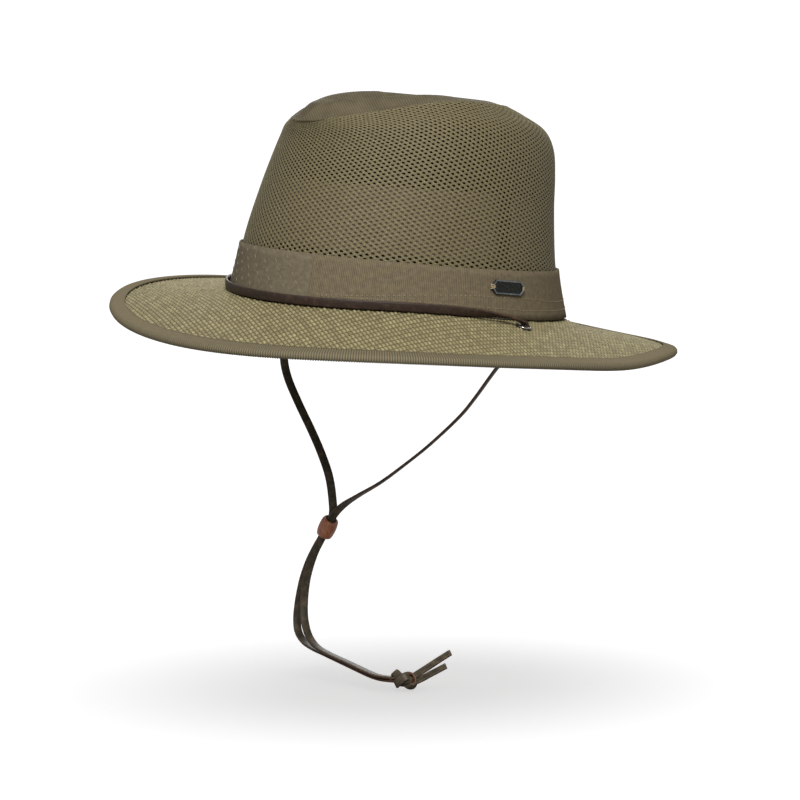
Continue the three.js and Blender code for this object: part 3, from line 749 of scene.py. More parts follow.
bm = bmesh.new()
relief = bm.verts.layers.float.new("relief")
low_row = -math.ceil(net_columns * net_climb)
bmesh.ops.create_grid(bm, x_segments=net_columns, y_segments=net_rows - low_row, size=0.5)
for vert in bm.verts:
    column = round((vert.co.x + 0.5) * net_columns)
    row = round((vert.co.y + 0.5) * (net_rows - low_row)) + low_row
    vert.co = (column, row, 0)
    vert[relief] = NODE_RELIEF
off_crown_cells = []
for face in bm.faces:
    heights = [net_height(vert.co.x, vert.co.y) for vert in face.verts]
    if max(heights) < NET_EDGE or min(heights) > climb[-1] - NET_EDGE:
        off_crown_cells.append(face)
bmesh.ops.delete(bm, geom=off_crown_cells, context="FACES")

cells = bm.faces[:]
bmesh.ops.inset_individual(bm, faces=cells, thickness=CELL_INSET)
for cell in cells:
    middle = cell.calc_center_median()
    for vert in cell.verts:
        off = vert.co - middle
        at_end = off.x * off.y < 0
        reach = NET["hole_long"] if at_end else NET["hole_wide"]
        vert.co = middle + Vector((*reach, 0)) * math.copysign(1, off.x)
        vert[relief] = 0.0 if at_end else 1.0
bmesh.ops.delete(bm, geom=cells, context="FACES_ONLY")
print("net holes:", len(cells))

# %% [markdown]
# The flat net is then bent onto the crown: a vertex's column and row say how far round and how far up it
# lies, and its relief says how far it stands off the form. Where its two ends meet, they are merged.

# %% Bend the net onto the crown
for vert in bm.verts:
    column, row = vert.co.x, vert.co.y
    height_up = min(climb[-1], max(0, net_height(column, row)))
    run_round = column * NET_STEP["round"][0] + row * NET_STEP["up"][0]
    lift = YARN_SINK + (YARN_RISE - YARN_SINK) * vert[relief]
    angle = math.pi + 2 * math.pi * run_round / NET["round"]
    vert.co = off_crown(angle, share_at_climb(height_up / climb[-1]), lift) * MM
bmesh.ops.remove_doubles(bm, verts=bm.verts, dist=WELD)
smooth_faces(bm)
finish_piece(bm, "crown_net", net_yarn, "crown_mesh", "crown_side", wall=NET_WALL)

# %% [markdown]
# The top of the crown is a closely woven cotton twill. Twill shows as fine diagonal lines, with soft clouds
# where the dye took unevenly. The real lines are about half a millimetre apart, which is finer than a pixel,
# so they are drawn at 1.1 mm. A wave texture of scale 1 has twenty lines in 2 pi units.

# %% Twill
WAVE_UNIT = 2 * math.pi / 20
TWILL_MM = 1.1
CLOUD_MM = 9
CLOUD_SHARE = 0.7


def woven_twill(name, stops):
    material, tree, shader = new_material(name, Roughness=0.82, Specular_IOR_Level=0.15)
    place = add_node(tree, "ShaderNodeTexCoord")
    lines = add_node(
        tree,
        "ShaderNodeTexWave",
        {
            "Vector": place.outputs["Object"],
            "Scale": WAVE_UNIT / (TWILL_MM * MM),
            "Distortion": 0.4,
        },
        bands_direction="DIAGONAL",
    )
    clouds = {"Vector": place.outputs["Object"], "Scale": 1 / (CLOUD_MM * MM), "Detail": 6.0}
    cloud = add_node(tree, "ShaderNodeTexNoise", clouds)
    shares = {0: CLOUD_SHARE, 2: lines.outputs["Fac"], 3: cloud.outputs["Fac"]}
    both = add_node(tree, "ShaderNodeMix", shares, data_type="FLOAT")
    shade = add_node(tree, "ShaderNodeValToRGB", {"Fac": both.outputs[0]}, stops=stops)
    tree.links.new(shade.outputs["Color"], shader.inputs["Base Color"])
    ridged = {"Height": lines.outputs["Fac"], "Strength": 0.1, "Distance": 0.3 * MM}
    bump = add_node(tree, "ShaderNodeBump", ridged)
    tree.links.new(bump.outputs["Normal"], shader.inputs["Normal"])
    return material


top_twill = woven_twill("cotton_twill_top", [(0.3, "#453f2e"), (0.5, "#514939"), (0.7, "#5d5540")])

# %% [markdown]
# The top panel is sewn into the net along the ridge and laps a hair's breadth over it. From the seam it
# climbs to a crest and then sinks into a crease from front to back, where all columns of the grid end.

# %% Top panel
CREST_RISE = {"all": 2.2, "front": 9}
CREST_ROUND = 0.85
CREST_AT = 0.33
SINK_FROM = 0.231
CREASE_LEVEL = 97
CREASE_REACH = 0.55
CROWN_WALL = 1.2
SEAM_LAP = 0.004
TOP_GRID = (144, 40)
TOP_CLOTH = (400, 60)


def smooth_step(low, high, value):
    t = min(1, max(0, (value - low) / (high - low)))
    return t * t * (3 - 2 * t)


def top_point(angle, share):
    seam = crown_point(angle, 1)
    climb = CREST_RISE["all"] + CREST_RISE["front"] * facing(angle, FRONT_DIP["angle"])
    crest = seam.z + climb * smooth_step(0, CREST_AT, share) ** CREST_ROUND
    sink = smooth_step(SINK_FROM, 1, share)
    return Vector((
        seam.x * (1 - share),
        seam.y * (1 - share + share * CREASE_REACH),
        crest + (CREASE_LEVEL - crest) * sink,
    ))


def top_place(round_share, share):
    angle = 2 * math.pi * round_share
    return top_point(angle, share * (1 + SEAM_LAP) - SEAM_LAP)


bm = bent_grid(*TOP_GRID, top_place, TOP_CLOTH)
bmesh.ops.recalc_face_normals(bm, faces=bm.faces)
finish_piece(bm, "top_panel", top_twill, "crown_twill", "crown_top", wall=CROWN_WALL)

# %% [markdown]
# The band is a ribbed cotton ribbon with a dull, slightly clouded colour. Its ribs are painted paler on top
# and darker between, a painted highlight and painted shade that follow the ribbon's own UV map, which is in
# millimetres. The binding of the brim is made by the same function.

# %% Band cloth
BAND_HEIGHT = 27
BAND_WALL = 1.3
BAND_FLARE = 1.2
LAYER_GAP = 0.7
LAP_ANGLES = (21, 300)
LAP_TUCK = 5
RIB_MM = 1.0
RIB_RISE = 0.09
PLAIN_RIB_MM = 0.6
CLOUDS_PER_MM = 0.35
BAND_CLOUD = 0.72
BAND_ROUND = 575

band_foot = share_at_level(GAP)
band_top = share_at_level(BAND_HEIGHT)
RIBBED_ROUND = BAND_ROUND * (LAP_ANGLES[1] - LAP_ANGLES[0]) / 360


def band_out(share):
    part = (share - band_foot) / (band_top - band_foot)
    return LAYER_GAP + BAND_WALL + BAND_FLARE * (1 - part) ** 2


def band_cloth(name, stops, rib_mm, cloud_share):
    material, tree, shader = new_material(name, Roughness=0.8, Specular_IOR_Level=0.15)
    cloth = add_node(tree, "ShaderNodeUVMap", uv_map="cloth")
    # Painted highlight and painted shade: the wave colours the rib tops paler and the grooves darker.
    painted_rib_shade = add_node(
        tree,
        "ShaderNodeTexWave",
        {
            "Vector": cloth.outputs["UV"],
            "Scale": WAVE_UNIT / rib_mm,
            "Distortion": 0.3,
            "Phase Offset": math.pi,
        },
        bands_direction="X",
    )
    cloud = add_node(
        tree,
        "ShaderNodeTexNoise",
        {"Vector": cloth.outputs["UV"], "Scale": CLOUDS_PER_MM, "Detail": 8.0, "Roughness": 0.65},
    )
    shares = {0: cloud_share, 2: painted_rib_shade.outputs["Fac"], 3: cloud.outputs["Fac"]}
    both = add_node(tree, "ShaderNodeMix", shares, data_type="FLOAT")
    shade = add_node(tree, "ShaderNodeValToRGB", {"Fac": both.outputs[0]}, stops=stops)
    tree.links.new(shade.outputs["Color"], shader.inputs["Base Color"])
    uneven = {"Height": cloud.outputs["Fac"], "Strength": 0.25, "Distance": 0.4 * MM}
    bump = add_node(tree, "ShaderNodeBump", uneven)
    tree.links.new(bump.outputs["Normal"], shader.inputs["Normal"])
    return material


RIBBED_STOPS = [(0.3, "#4d4436"), (0.52, "#5d5340"), (0.74, "#6d624d")]
PLAIN_STOPS = [(0.3, "#4d4539"), (0.52, "#5e5544"), (0.74, "#6c6451")]
ribbed_band = band_cloth("ribbed_cotton_band", RIBBED_STOPS, RIB_MM, BAND_CLOUD)
smooth_band = band_cloth("plain_cotton_band", PLAIN_STOPS, PLAIN_RIB_MM, BAND_CLOUD)

# %% [markdown]
# The band is sewn flat round the foot of the crown. Its ribs stand upright about a millimetre apart, so they
# are real ridges in the grid. At the front it gives way to a smoother piece that lies under its ends.

# %% Band
BAND_DROP = {"depth": 0.75, "power": 4}
FRONT_SINK = 0.12
FRONT_THINNER = 0.3
FRONT_COLUMNS = 100
BAND_ROWS = 8
band_ribs = round(RIBBED_ROUND / RIB_MM)


def on_band_form(angle, share, lift):
    level = share_at_level(GAP + (BAND_HEIGHT - GAP) * share)
    drop = BAND_DROP["depth"] * (1 - share) ** BAND_DROP["power"]
    return off_crown(angle, level, band_out(level) + lift) - Vector((0, 0, drop))


def ribbed_place(round_share, share):
    angle = math.radians(LAP_ANGLES[0] + (LAP_ANGLES[1] - LAP_ANGLES[0]) * round_share)
    return on_band_form(angle, share, RIB_RISE * math.cos(2 * math.pi * round_share * band_ribs))


def plain_place(round_share, share):
    start = LAP_ANGLES[1] - 360 - LAP_TUCK
    angle = math.radians(start + (LAP_ANGLES[0] + LAP_TUCK - start) * round_share)
    return on_band_form(angle, share, -FRONT_SINK)


bm = bent_grid(band_ribs * 2, BAND_ROWS, ribbed_place, (band_ribs * RIB_MM, BAND_HEIGHT), close=False)
finish_piece(bm, "hat_band_ribbed", ribbed_band, "band_twill", "hat_band", wall=BAND_WALL)
bm = bent_grid(FRONT_COLUMNS, BAND_ROWS, plain_place, (BAND_ROUND - RIBBED_ROUND, BAND_HEIGHT), close=False)
finish_piece(bm, "hat_band_front", smooth_band, "band_twill", wall=BAND_WALL - FRONT_THINNER)

# %% [markdown]
# Behind the lower half of the net runs a strip of plain cloth, with its two ends a finger's breadth apart.
# It shows as a plainer field through the holes. Just above the band it parts from the head strip below it,
# and the row of holes there is dark, so those faces of the grid are deleted and the painted shade shell
# behind shows through.

# %% Inner strip
INNER = {"wall": 1, "foot": 1, "height": 68, "gap_angle": 89.5, "gap_width": 8}
inner_cloth = woven_twill("cotton_inner_strip", [(0.3, "#3b332b"), (0.5, "#493f34"), (0.7, "#584e43")])
SLOT = (25, 31)
STRIP_DEPTH = 0.55
STRIP_GRID = (120, 34)
INNER_ROUND = 540
strip_half_gap = INNER["gap_width"] / 2 / OVAL[0]


def strip_place(round_share, share):
    start = math.radians(INNER["gap_angle"]) + strip_half_gap
    angle = start + (2 * math.pi - 2 * strip_half_gap) * round_share
    level = share_at_level(INNER["foot"] + (INNER["height"] - INNER["foot"]) * share)
    return off_crown(angle, level, -STRIP_DEPTH)


bm = bent_grid(*STRIP_GRID, strip_place, (INNER_ROUND, INNER["height"]), close=False)
cloth = bm.loops.layers.uv["cloth"]
slot = []
for face in bm.faces:
    level = sum(loop[cloth].uv.y for loop in face.loops) / len(face.loops)
    if SLOT[0] < level < SLOT[1]:
        slot.append(face)
bmesh.ops.delete(bm, geom=slot, context="FACES")
finish_piece(bm, "inner_strip", inner_cloth, "inner_strip", "inner_band", wall=INNER["wall"])

# %% [markdown]
# A thin dark shell behind the strip is painted shade: it stands for the shade inside the crown, so that
# the holes of the net look dark and the room doesn't shine through the hat.

# %% Painted shade inside the crown
SHADE_SHELL = {"depth": 2.0, "foot": 20, "wall": 0.4}
SHADE_SHELL_GRID = (96, 30)
SHADE_SHELL_HEIGHT = 100
SHADE_SHELL_MM = 2
SHADE_SHELL_STOPS = [(0.35, "#19160f"), (0.65, "#292318")]

# Painted shade: the shell's near-black colour stands for the shade inside the crown.
shade_shell, tree, shader = new_material("painted_shade_inside_crown", Roughness=0.9, Specular_IOR_Level=0.1)
place = add_node(tree, "ShaderNodeTexCoord")
spots = {"Vector": place.outputs["Object"], "Scale": 1 / (SHADE_SHELL_MM * MM), "Detail": 4.0}
mottle = add_node(tree, "ShaderNodeTexNoise", spots)
shade_shell_colour = add_node(tree, "ShaderNodeValToRGB", {"Fac": mottle.outputs["Fac"]}, stops=SHADE_SHELL_STOPS)
tree.links.new(shade_shell_colour.outputs["Color"], shader.inputs["Base Color"])


def shade_shell_place(round_share, share):
    foot = share_at_level(SHADE_SHELL["foot"])
    return off_crown(2 * math.pi * round_share, foot + (1 - foot) * share, -SHADE_SHELL["depth"])


bm = bent_grid(*SHADE_SHELL_GRID, shade_shell_place, (INNER_ROUND, SHADE_SHELL_HEIGHT))
finish_piece(bm, "painted_shade_shell", shade_shell, "crown_mesh", wall=SHADE_SHELL["wall"])

# %% [markdown]
# The brim is a stiff cloth woven from flat paper straw. It is cut from the flat on the bias, so its threads
# run straight across the whole brim, and each shows as a line of small beads that slants across the hat.
# That is the layout of a slanted brick wall, so a brick pattern colours it.

# %% Paper straw
STRAW = {"slope": 0.4, "bead": 4.4, "row": 2.5, "groove": 0.8}
FIBRE_MM = 5
LIGHT_STOPS = [(0.3, "#7d7659"), (0.5, "#8f8664"), (0.7, "#a29972")]
DARK_STOPS = [(0.3, "#696245"), (0.5, "#7b7154"), (0.7, "#8e8562")]

straw, tree, shader = new_material("woven_paper_straw", Roughness=0.7, Specular_IOR_Level=0.2)
place = add_node(tree, "ShaderNodeTexCoord")
streaks = {"Scale": 1 / (FIBRE_MM * MM), "Detail": 6.0, "Roughness": 0.7}
fibres = add_node(tree, "ShaderNodeTexNoise", {"Vector": place.outputs["Object"], **streaks})
light_straw = add_node(tree, "ShaderNodeValToRGB", {"Fac": fibres.outputs["Fac"]}, stops=LIGHT_STOPS)
dark_straw = add_node(tree, "ShaderNodeValToRGB", {"Fac": fibres.outputs["Fac"]}, stops=DARK_STOPS)
flat = add_node(tree, "ShaderNodeSeparateXYZ", {"Vector": place.outputs["Object"]})
slide = add_node(
    tree,
    "ShaderNodeMath",
    {0: flat.outputs["X"], 1: STRAW["slope"], 2: flat.outputs["Y"]},
    operation="MULTIPLY_ADD",
)
slid = {"X": flat.outputs["X"], "Y": slide.outputs["Value"]}
along_threads = add_node(tree, "ShaderNodeCombineXYZ", slid)
floats = add_node(
    tree,
    "ShaderNodeTexBrick",
    {
        "Vector": along_threads.outputs["Vector"],
        "Color1": light_straw.outputs["Color"],
        "Color2": dark_straw.outputs["Color"],
        "Mortar": linear("#4d452d"),
        "Scale": 1 / MM,
        "Mortar Size": STRAW["groove"],
        "Mortar Smooth": 1.0,
        "Brick Width": STRAW["bead"],
        "Row Height": STRAW["row"],
    },
    offset=0.0,
)
tree.links.new(floats.outputs["Color"], shader.inputs["Base Color"])

# %% [markdown]
# The beads of straw are real bumps: a grid is laid over the whole hat along the threads, and its vertices
# are raised where the pattern has a bead. What lies outside the brim, in the head opening or in an eyelet is
# deleted, the border is drawn onto the two ovals, and the rest is laid on the form of the brim.

# %% Brim cloth
STRAW_RISE = 0.45
STRAW_SINK = 0.12
STEPS_PER_BEAD = 4
CLOTH_WALL = 1.6
EYELET = {"x": 97, "y": 3, "bore": 5.8, "barrel": 6.6, "flange": 9.4, "lift": 0.45}
step_along = STRAW["bead"] / STEPS_PER_BEAD
step_across = STRAW["row"] / 2
along_steps = 2 * math.ceil((OVAL[0] + BRIM_WIDTH) / step_along)
slide_most = STRAW["slope"] * (OVAL[0] + BRIM_WIDTH)
across_steps = 2 * math.ceil((OVAL[1] + BRIM_WIDTH + slide_most) / step_across)


def angle_and_run(x, y):
    angle = math.atan2(x / OVAL[0], -y / OVAL[1])
    for _ in range(6):
        s = math.sin(angle)
        c = math.cos(angle)
        gap = (x - OVAL[0] * s, y + OVAL[1] * c)
        slope = (OVAL[0] * c, OVAL[1] * s)
        bend = (-OVAL[0] * s, OVAL[1] * c)
        pull = gap[0] * slope[0] + gap[1] * slope[1]
        stiff = gap[0] * bend[0] + gap[1] * bend[1] - slope[0] ** 2 - slope[1] ** 2
        angle -= pull / stiff
    out = oval_out(angle)
    run = (x - OVAL[0] * math.sin(angle)) * out.x + (y + OVAL[1] * math.cos(angle)) * out.y
    return angle, run


bm = bmesh.new()
relief = bm.verts.layers.float.new("relief")
bmesh.ops.create_grid(bm, x_segments=along_steps, y_segments=across_steps, size=0.5)
for vert in bm.verts:
    along = round(vert.co.x * along_steps)
    across = round(vert.co.y * across_steps)
    swell = 0.5 - 0.5 * math.cos(2 * math.pi * along / STEPS_PER_BEAD)
    vert[relief] = swell if across % 2 else 0.0
    x = along * step_along
    vert.co = (x, across * step_across - STRAW["slope"] * x, 0)

outside = []
for vert in bm.verts:
    x, y = vert.co.x, vert.co.y
    oval_far = math.hypot(x / (OVAL[0] + BRIM_WIDTH), y / (OVAL[1] + BRIM_WIDTH))
    oval_near = math.hypot(x / (OVAL[0] - BRIM_TUCK), y / (OVAL[1] - BRIM_TUCK))
    in_eyelet = math.hypot(abs(x) - EYELET["x"], y - EYELET["y"]) < EYELET["barrel"] / 2
    if oval_far > 1 or oval_near < 1 or in_eyelet:
        outside.append(vert)
bmesh.ops.delete(bm, geom=outside, context="VERTS")
loose = [vert for vert in bm.verts if len(vert.link_faces) == 0]
bmesh.ops.delete(bm, geom=loose, context="VERTS")

for vert in bm.verts:
    angle, run = angle_and_run(vert.co.x, vert.co.y)
    at_eyelet = math.hypot(abs(vert.co.x) - EYELET["x"], vert.co.y - EYELET["y"]) < EYELET["flange"]
    if vert.is_boundary and not at_eyelet:
        run = BRIM_WIDTH if run > BRIM_WIDTH / 2 else -BRIM_TUCK
    place = brim_point(angle, run)
    place.z += STRAW_RISE * (2 * vert[relief] - 1) - STRAW_SINK
    vert.co = place * MM
smooth_faces(bm)
finish_piece(bm, "brim_cloth", straw, "brim_weave", "brim", wall=CLOTH_WALL)

# %% [markdown]
# The edge of the brim is bound with grosgrain: a ribbon folded over it whose ribs run across the fold, a
# little over a millimetre apart. Seen from the side they make the fine upright lines along the edge, so they
# are real ridges.

# %% Binding
BINDING = {"reach": 6.5, "wall": 0.8}
BINDING_RIB_MM = 1.32
BINDING_RISE = 0.3
BINDING_ROUND = 1005
BINDING_ROWS = 14
EDGE_STEP = 2
GROSGRAIN_STOPS = [(0.3, "#4e4938"), (0.52, "#5e5644"), (0.74, "#706650")]
GROSGRAIN_CLOUD = 0.35

# band_cloth paints these ribs paler on top and darker between: painted highlight and painted shade.
grosgrain = band_cloth("grosgrain_ribbon", GROSGRAIN_STOPS, BINDING_RIB_MM, GROSGRAIN_CLOUD)
fold_radius = BRIM_WALL / 2 + GAP + BINDING["wall"]
fold_length = 2 * BINDING["reach"] + math.pi * fold_radius
rib_count = round(BINDING_ROUND / BINDING_RIB_MM)


def binding_place(round_share, share):
    angle = 2 * math.pi * round_share
    rib = BINDING_RISE * math.cos(2 * math.pi * round_share * rib_count)
    walk = share * fold_length
    edge = brim_point(angle, BRIM_WIDTH)
    up = brim_up(angle, BRIM_WIDTH)
    out = (edge - brim_point(angle, BRIM_WIDTH - EDGE_STEP)).normalized()
    middle = edge - up * (BRIM_WALL / 2)
    if walk < BINDING["reach"]:
        under = brim_point(angle, BRIM_WIDTH - BINDING["reach"] + walk)
        return under - up * (BRIM_WALL + GAP + BINDING["wall"] + rib)
    if walk > fold_length - BINDING["reach"]:
        over = brim_point(angle, BRIM_WIDTH - (walk - fold_length + BINDING["reach"]))
        return over + up * (GAP + BINDING["wall"] + rib)
    bend = (walk - BINDING["reach"]) / fold_radius - math.pi / 2
    radius = fold_radius + rib
    return middle + up * math.sin(bend) * radius + out * math.cos(bend) * radius


bm = bent_grid(rib_count * 2, BINDING_ROWS, binding_place, (rib_count * BINDING_RIB_MM, fold_length))
bmesh.ops.recalc_face_normals(bm, faces=bm.faces)
finish_piece(bm, "brim_ribbon", grosgrain, "binding_ribbon", "brim_binding", wall=BINDING["wall"])

# %% [markdown]
# The eyelets are nickel-plated steel, bright with small worn clouds, and rolled over on both faces of the
# brim. A profile of a few points is spun round each eyelet's own axis, which leans with the brim.

# %% Eyelets
WEAR_MM = 1.5
STEEL_STOPS = [(0.35, "#9a978f"), (0.65, "#c9c6bf")]
EYELET_STEPS = 32

plated_steel, tree, shader = new_material("nickel_plated_steel", Roughness=0.22, Metallic=1.0)
place = add_node(tree, "ShaderNodeTexCoord")
spots = {"Vector": place.outputs["Object"], "Scale": 1 / (WEAR_MM * MM), "Detail": 4.0}
wear = add_node(tree, "ShaderNodeTexNoise", spots)
steel_shade = add_node(tree, "ShaderNodeValToRGB", {"Fac": wear.outputs["Fac"]}, stops=STEEL_STOPS)
tree.links.new(steel_shade.outputs["Color"], shader.inputs["Base Color"])


def eyelet_seat(side):
    angle, run = angle_and_run(side * EYELET["x"], EYELET["y"])
    return brim_point(angle, run), brim_up(angle, run)


for name, side in {"left": 1, "right": -1}.items():
    seat, up = eyelet_seat(side)
    bore = EYELET["bore"] / 2
    barrel = EYELET["barrel"] / 2
    flange = EYELET["flange"] / 2
    upper = EYELET["lift"]
    lower = -BRIM_WALL - EYELET["lift"]
    profile = [(bore, lower - 0.4), (bore + 0.5, lower - 0.55), (flange - 0.5, lower - 0.4), (flange, lower)]
    profile += [(barrel, lower), (barrel, upper), (flange, upper)]
    profile += [(flange - 0.35, upper + 0.45), (flange - 1, upper + 0.75), (bore + 0.35, upper + 0.6)]
    profile += [(bore, upper + 0.2)]
    bm = spun_ring(profile, seat, up.orthogonal().normalized(), up, EYELET_STEPS)
    finish_piece(bm, f"brim_eyelet_{name}", plated_steel, "eyelet_steel", f"eyelet_{name}")

# %% [markdown]
# Round the front, the same lace stands on edge between the band and the brim, leaves the band near each
# side, lies down and turns into the eyelet. Its stations are worked out from the band and the brim, as in
# the frame. The flat rows of the right end are turned over.

# %% Front lace
FRONT = {"leaves": 66, "steps": 40, "off_band": 0.5, "off_brim": 0.7, "foot_run": 4, "lean": 0.12}
FRONT_ROWS = 3
FRONT_END = {"risen": 2.4, "sunk": -0.6, "cut": -1.4}
FRONT_BRIDGE = {"aim": 3.2, "yaw": 0.25}
BRIDGE_FIRST = {"share": 0.4, "lift": 0.9}
BRIDGE_SECOND = {"share": 0.78, "lift": 1.2}
FLAT_BELOW = 0.2


def front_station(share):
    angle = math.radians(FRONT["leaves"]) * (2 * share - 1)
    out = normal_of(crown_point, angle, band_foot)
    place = off_crown(angle, band_foot, band_out(band_foot) + FRONT["off_band"] + LACE_THICK / 2)
    place.z = brim_level(angle, FRONT["foot_run"]) + FRONT["off_brim"] + LACE_WIDTH / 2
    wide = brim_up(angle, FRONT["foot_run"]).lerp(out, -FRONT["lean"]).normalized()
    return place, wide


def front_end(side):
    seat, up = eyelet_seat(side)
    leave = front_station(1 if side > 0 else 0)[0]
    aim = seat + up * FRONT_BRIDGE["aim"]
    flat = Vector((side, FRONT_BRIDGE["yaw"], 0)).normalized()
    half_turned = (flat + Vector((0, 0, math.sqrt(2)))).normalized()
    first = leave.lerp(aim, BRIDGE_FIRST["share"]) + Vector((0, 0, BRIDGE_FIRST["lift"]))
    second = leave.lerp(aim, BRIDGE_SECOND["share"]) + Vector((0, 0, BRIDGE_SECOND["lift"]))
    return [
        (first, half_turned),
        (second, flat),
        (seat + up * FRONT_END["risen"], flat),
        (seat + up * FRONT_END["sunk"], flat),
        (seat + up * FRONT_END["cut"], flat),
    ]


right_end = [(place, -wide if wide.z < FLAT_BELOW else wide) for place, wide in front_end(-1)]
stations = [
    *reversed(right_end),
    *[front_station(i / FRONT["steps"]) for i in range(FRONT["steps"] + 1)],
    *front_end(1),
]
bm, _, length = lace_strip(stations, FRONT_ROWS)
finish_piece(bm, "front_lace", front_leather, "lace_leather", "cord_front")
print("front lace is", round(length, 1), "mm long")

# %% [markdown]
# The tag is cast in zinc and plated dark. The plating has worn paler along the raised rim, and small clouds
# of wear cover the field. An attribute of the mesh says what is rim.

# %% Gunmetal
WORN_MM = 1.2
FIELD_STOPS = [(0.35, "#2c2d2b"), (0.55, "#3a3b38"), (0.7, "#4b4c48")]
RIM_STOPS = [(0.35, "#6e757a"), (0.55, "#868d92"), (0.7, "#a2a8ac")]

gunmetal, tree, shader = new_material("gunmetal_plated_zinc", Roughness=0.34, Metallic=1.0)
place = add_node(tree, "ShaderNodeTexCoord")
spots = {"Vector": place.outputs["Object"], "Scale": 1 / (WORN_MM * MM), "Detail": 6.0}
worn = add_node(tree, "ShaderNodeTexNoise", spots)
field = add_node(tree, "ShaderNodeValToRGB", {"Fac": worn.outputs["Fac"]}, stops=FIELD_STOPS)
rim = add_node(tree, "ShaderNodeValToRGB", {"Fac": worn.outputs["Fac"]}, stops=RIM_STOPS)
raised = add_node(tree, "ShaderNodeAttribute", attribute_name="relief")
places = {"Factor": raised.outputs["Fac"], 6: field.outputs["Color"], 7: rim.outputs["Color"]}
plate_shade = add_node(tree, "ShaderNodeMix", places, data_type="RGBA")
tree.links.new(plate_shade.outputs[2], shader.inputs["Base Color"])
pitted = {"Height": worn.outputs["Fac"], "Strength": 0.3, "Distance": 0.2 * MM}
bump = add_node(tree, "ShaderNodeBump", pitted)
tree.links.new(bump.outputs["Normal"], shader.inputs["Normal"])

# %% [markdown]
# The tag's plate has cut corners and a raised rim. It starts as a cube: the four corner edges are bevelled,
# the face is inset and pushed in, and the rim's edges are softened. It is left bare.

# %% Tag
BADGE = {"angle": 89.5, "level": 17.3, "tilt": -1.7, "lift": 0.45}
PLATE = {"length": 24, "height": 7.6, "wall": 1.3, "corner": 2.6, "rim": 0.8, "sink": 0.55}
RIM_SLOPE = 0.3
RIM_SOFT = 0.18
RIM_DEPTH = 0.2
FACING_OUT = 0.9
HAIR = 0.01
badge_angle = math.radians(BADGE["angle"])
badge_share = share_at_level(BADGE["level"])
badge_out = normal_of(crown_point, badge_angle, badge_share)
badge_right = Vector((0, 0, 1)).cross(badge_out).normalized()
badge_up = badge_out.cross(badge_right)
badge_tilt = Matrix.Rotation(math.radians(BADGE["tilt"]), 3, "Z")
badge_turn = Matrix((badge_right, badge_up, badge_out)).transposed() @ badge_tilt
badge_foot = off_crown(badge_angle, badge_share, band_out(badge_share) + BADGE["lift"])
badge_frame = Matrix.Translation(badge_foot) @ badge_turn.to_4x4()

bm = bmesh.new()
bmesh.ops.create_cube(bm, size=1)
bmesh.ops.scale(bm, verts=bm.verts, vec=(PLATE["length"], PLATE["height"], PLATE["wall"]))
bmesh.ops.translate(bm, verts=bm.verts, vec=(0, 0, PLATE["wall"] / 2))
corners = [edge for edge in bm.edges if abs((edge.verts[0].co - edge.verts[1].co).z) > PLATE["wall"] / 2]
bmesh.ops.bevel(
    bm, geom=corners, offset=PLATE["corner"], affect="EDGES", segments=1, profile=0.5, material=-1
)
front = [face for face in bm.faces if face.normal.z > FACING_OUT]
bmesh.ops.inset_region(bm, faces=front, thickness=PLATE["rim"])
bmesh.ops.inset_region(bm, faces=front, thickness=RIM_SLOPE, depth=-PLATE["sink"])
rim = [edge for edge in bm.edges if min(vert.co.z for vert in edge.verts) > PLATE["wall"] - HAIR]
bmesh.ops.bevel(bm, geom=rim, offset=RIM_SOFT, affect="EDGES", segments=2, profile=0.5, material=-1)
relief = bm.verts.layers.float.new("relief")
for vert in bm.verts:
    vert[relief] = 1.0 if vert.co.z > PLATE["wall"] - RIM_DEPTH else 0.0
bmesh.ops.transform(bm, matrix=badge_frame, verts=bm.verts)
bmesh.ops.scale(bm, verts=bm.verts, vec=(MM, MM, MM))
finish_piece(bm, "band_tag", gunmetal, "badge_metal", "badge")

# %% [markdown]
# Sewing is what makes a hat look made. The threads are cotton and linen, dull, with a twist that shows as
# small light and dark spots. Every stitch is a small stretched sphere, lying along its seam and half sunk in
# the cloth.

# %% Thread
TWIST_MM = 0.8


def cotton_thread(name, stops):
    material, tree, shader = new_material(name, Roughness=0.7, Specular_IOR_Level=0.2)
    place = add_node(tree, "ShaderNodeTexCoord")
    spots = {"Vector": place.outputs["Object"], "Scale": 1 / (TWIST_MM * MM), "Detail": 3.0}
    twist = add_node(tree, "ShaderNodeTexNoise", spots)
    shade = add_node(tree, "ShaderNodeValToRGB", {"Fac": twist.outputs["Fac"]}, stops=stops)
    tree.links.new(shade.outputs["Color"], shader.inputs["Base Color"])
    return material


band_thread = cotton_thread("cotton_thread_band", [(0.35, "#77684f"), (0.65, "#8f8066")])
tick_thread = cotton_thread("cotton_thread_front", [(0.35, "#7a6f5a"), (0.65, "#8c816a")])
pale_thread = cotton_thread("linen_thread_pale", [(0.35, "#8b7b5c"), (0.65, "#aa9b74")])


def sew(bm, place, along, out, length, thick):
    side = out.cross(along).normalized()
    lie = Matrix((along.normalized(), side, out.normalized())).transposed().to_4x4()
    sized = Matrix.Diagonal((length / 2, thick / 2, thick / 2, 1))
    spot = Matrix.Scale(MM, 4) @ Matrix.Translation(place) @ lie @ sized
    bmesh.ops.create_uvsphere(bm, u_segments=6, v_segments=5, radius=1, matrix=spot)


def on_band(angle, level, lift):
    share = share_at_level(level)
    return off_crown(angle, share, band_out(share) + lift)


# %% [markdown]
# Two rows of stitches hold the band. The lower one is level. The upper one starts beside it at the front,
# rises towards the side of the hat and comes down a little behind it.

# %% Stitches round the band
STITCH = {"pitch": 2.7, "length": 1.7, "thick": 0.44, "lift": 0.1, "from_lap": 2}
LOWER_ROW = 4.9
UPPER_ROW = {"front": 5.6, "rise": 5.9, "rises": (25, 85), "fall": 1.8, "falls": (100, 120)}
LOOK_AHEAD = 0.01


def lower_row(angle):
    return LOWER_ROW


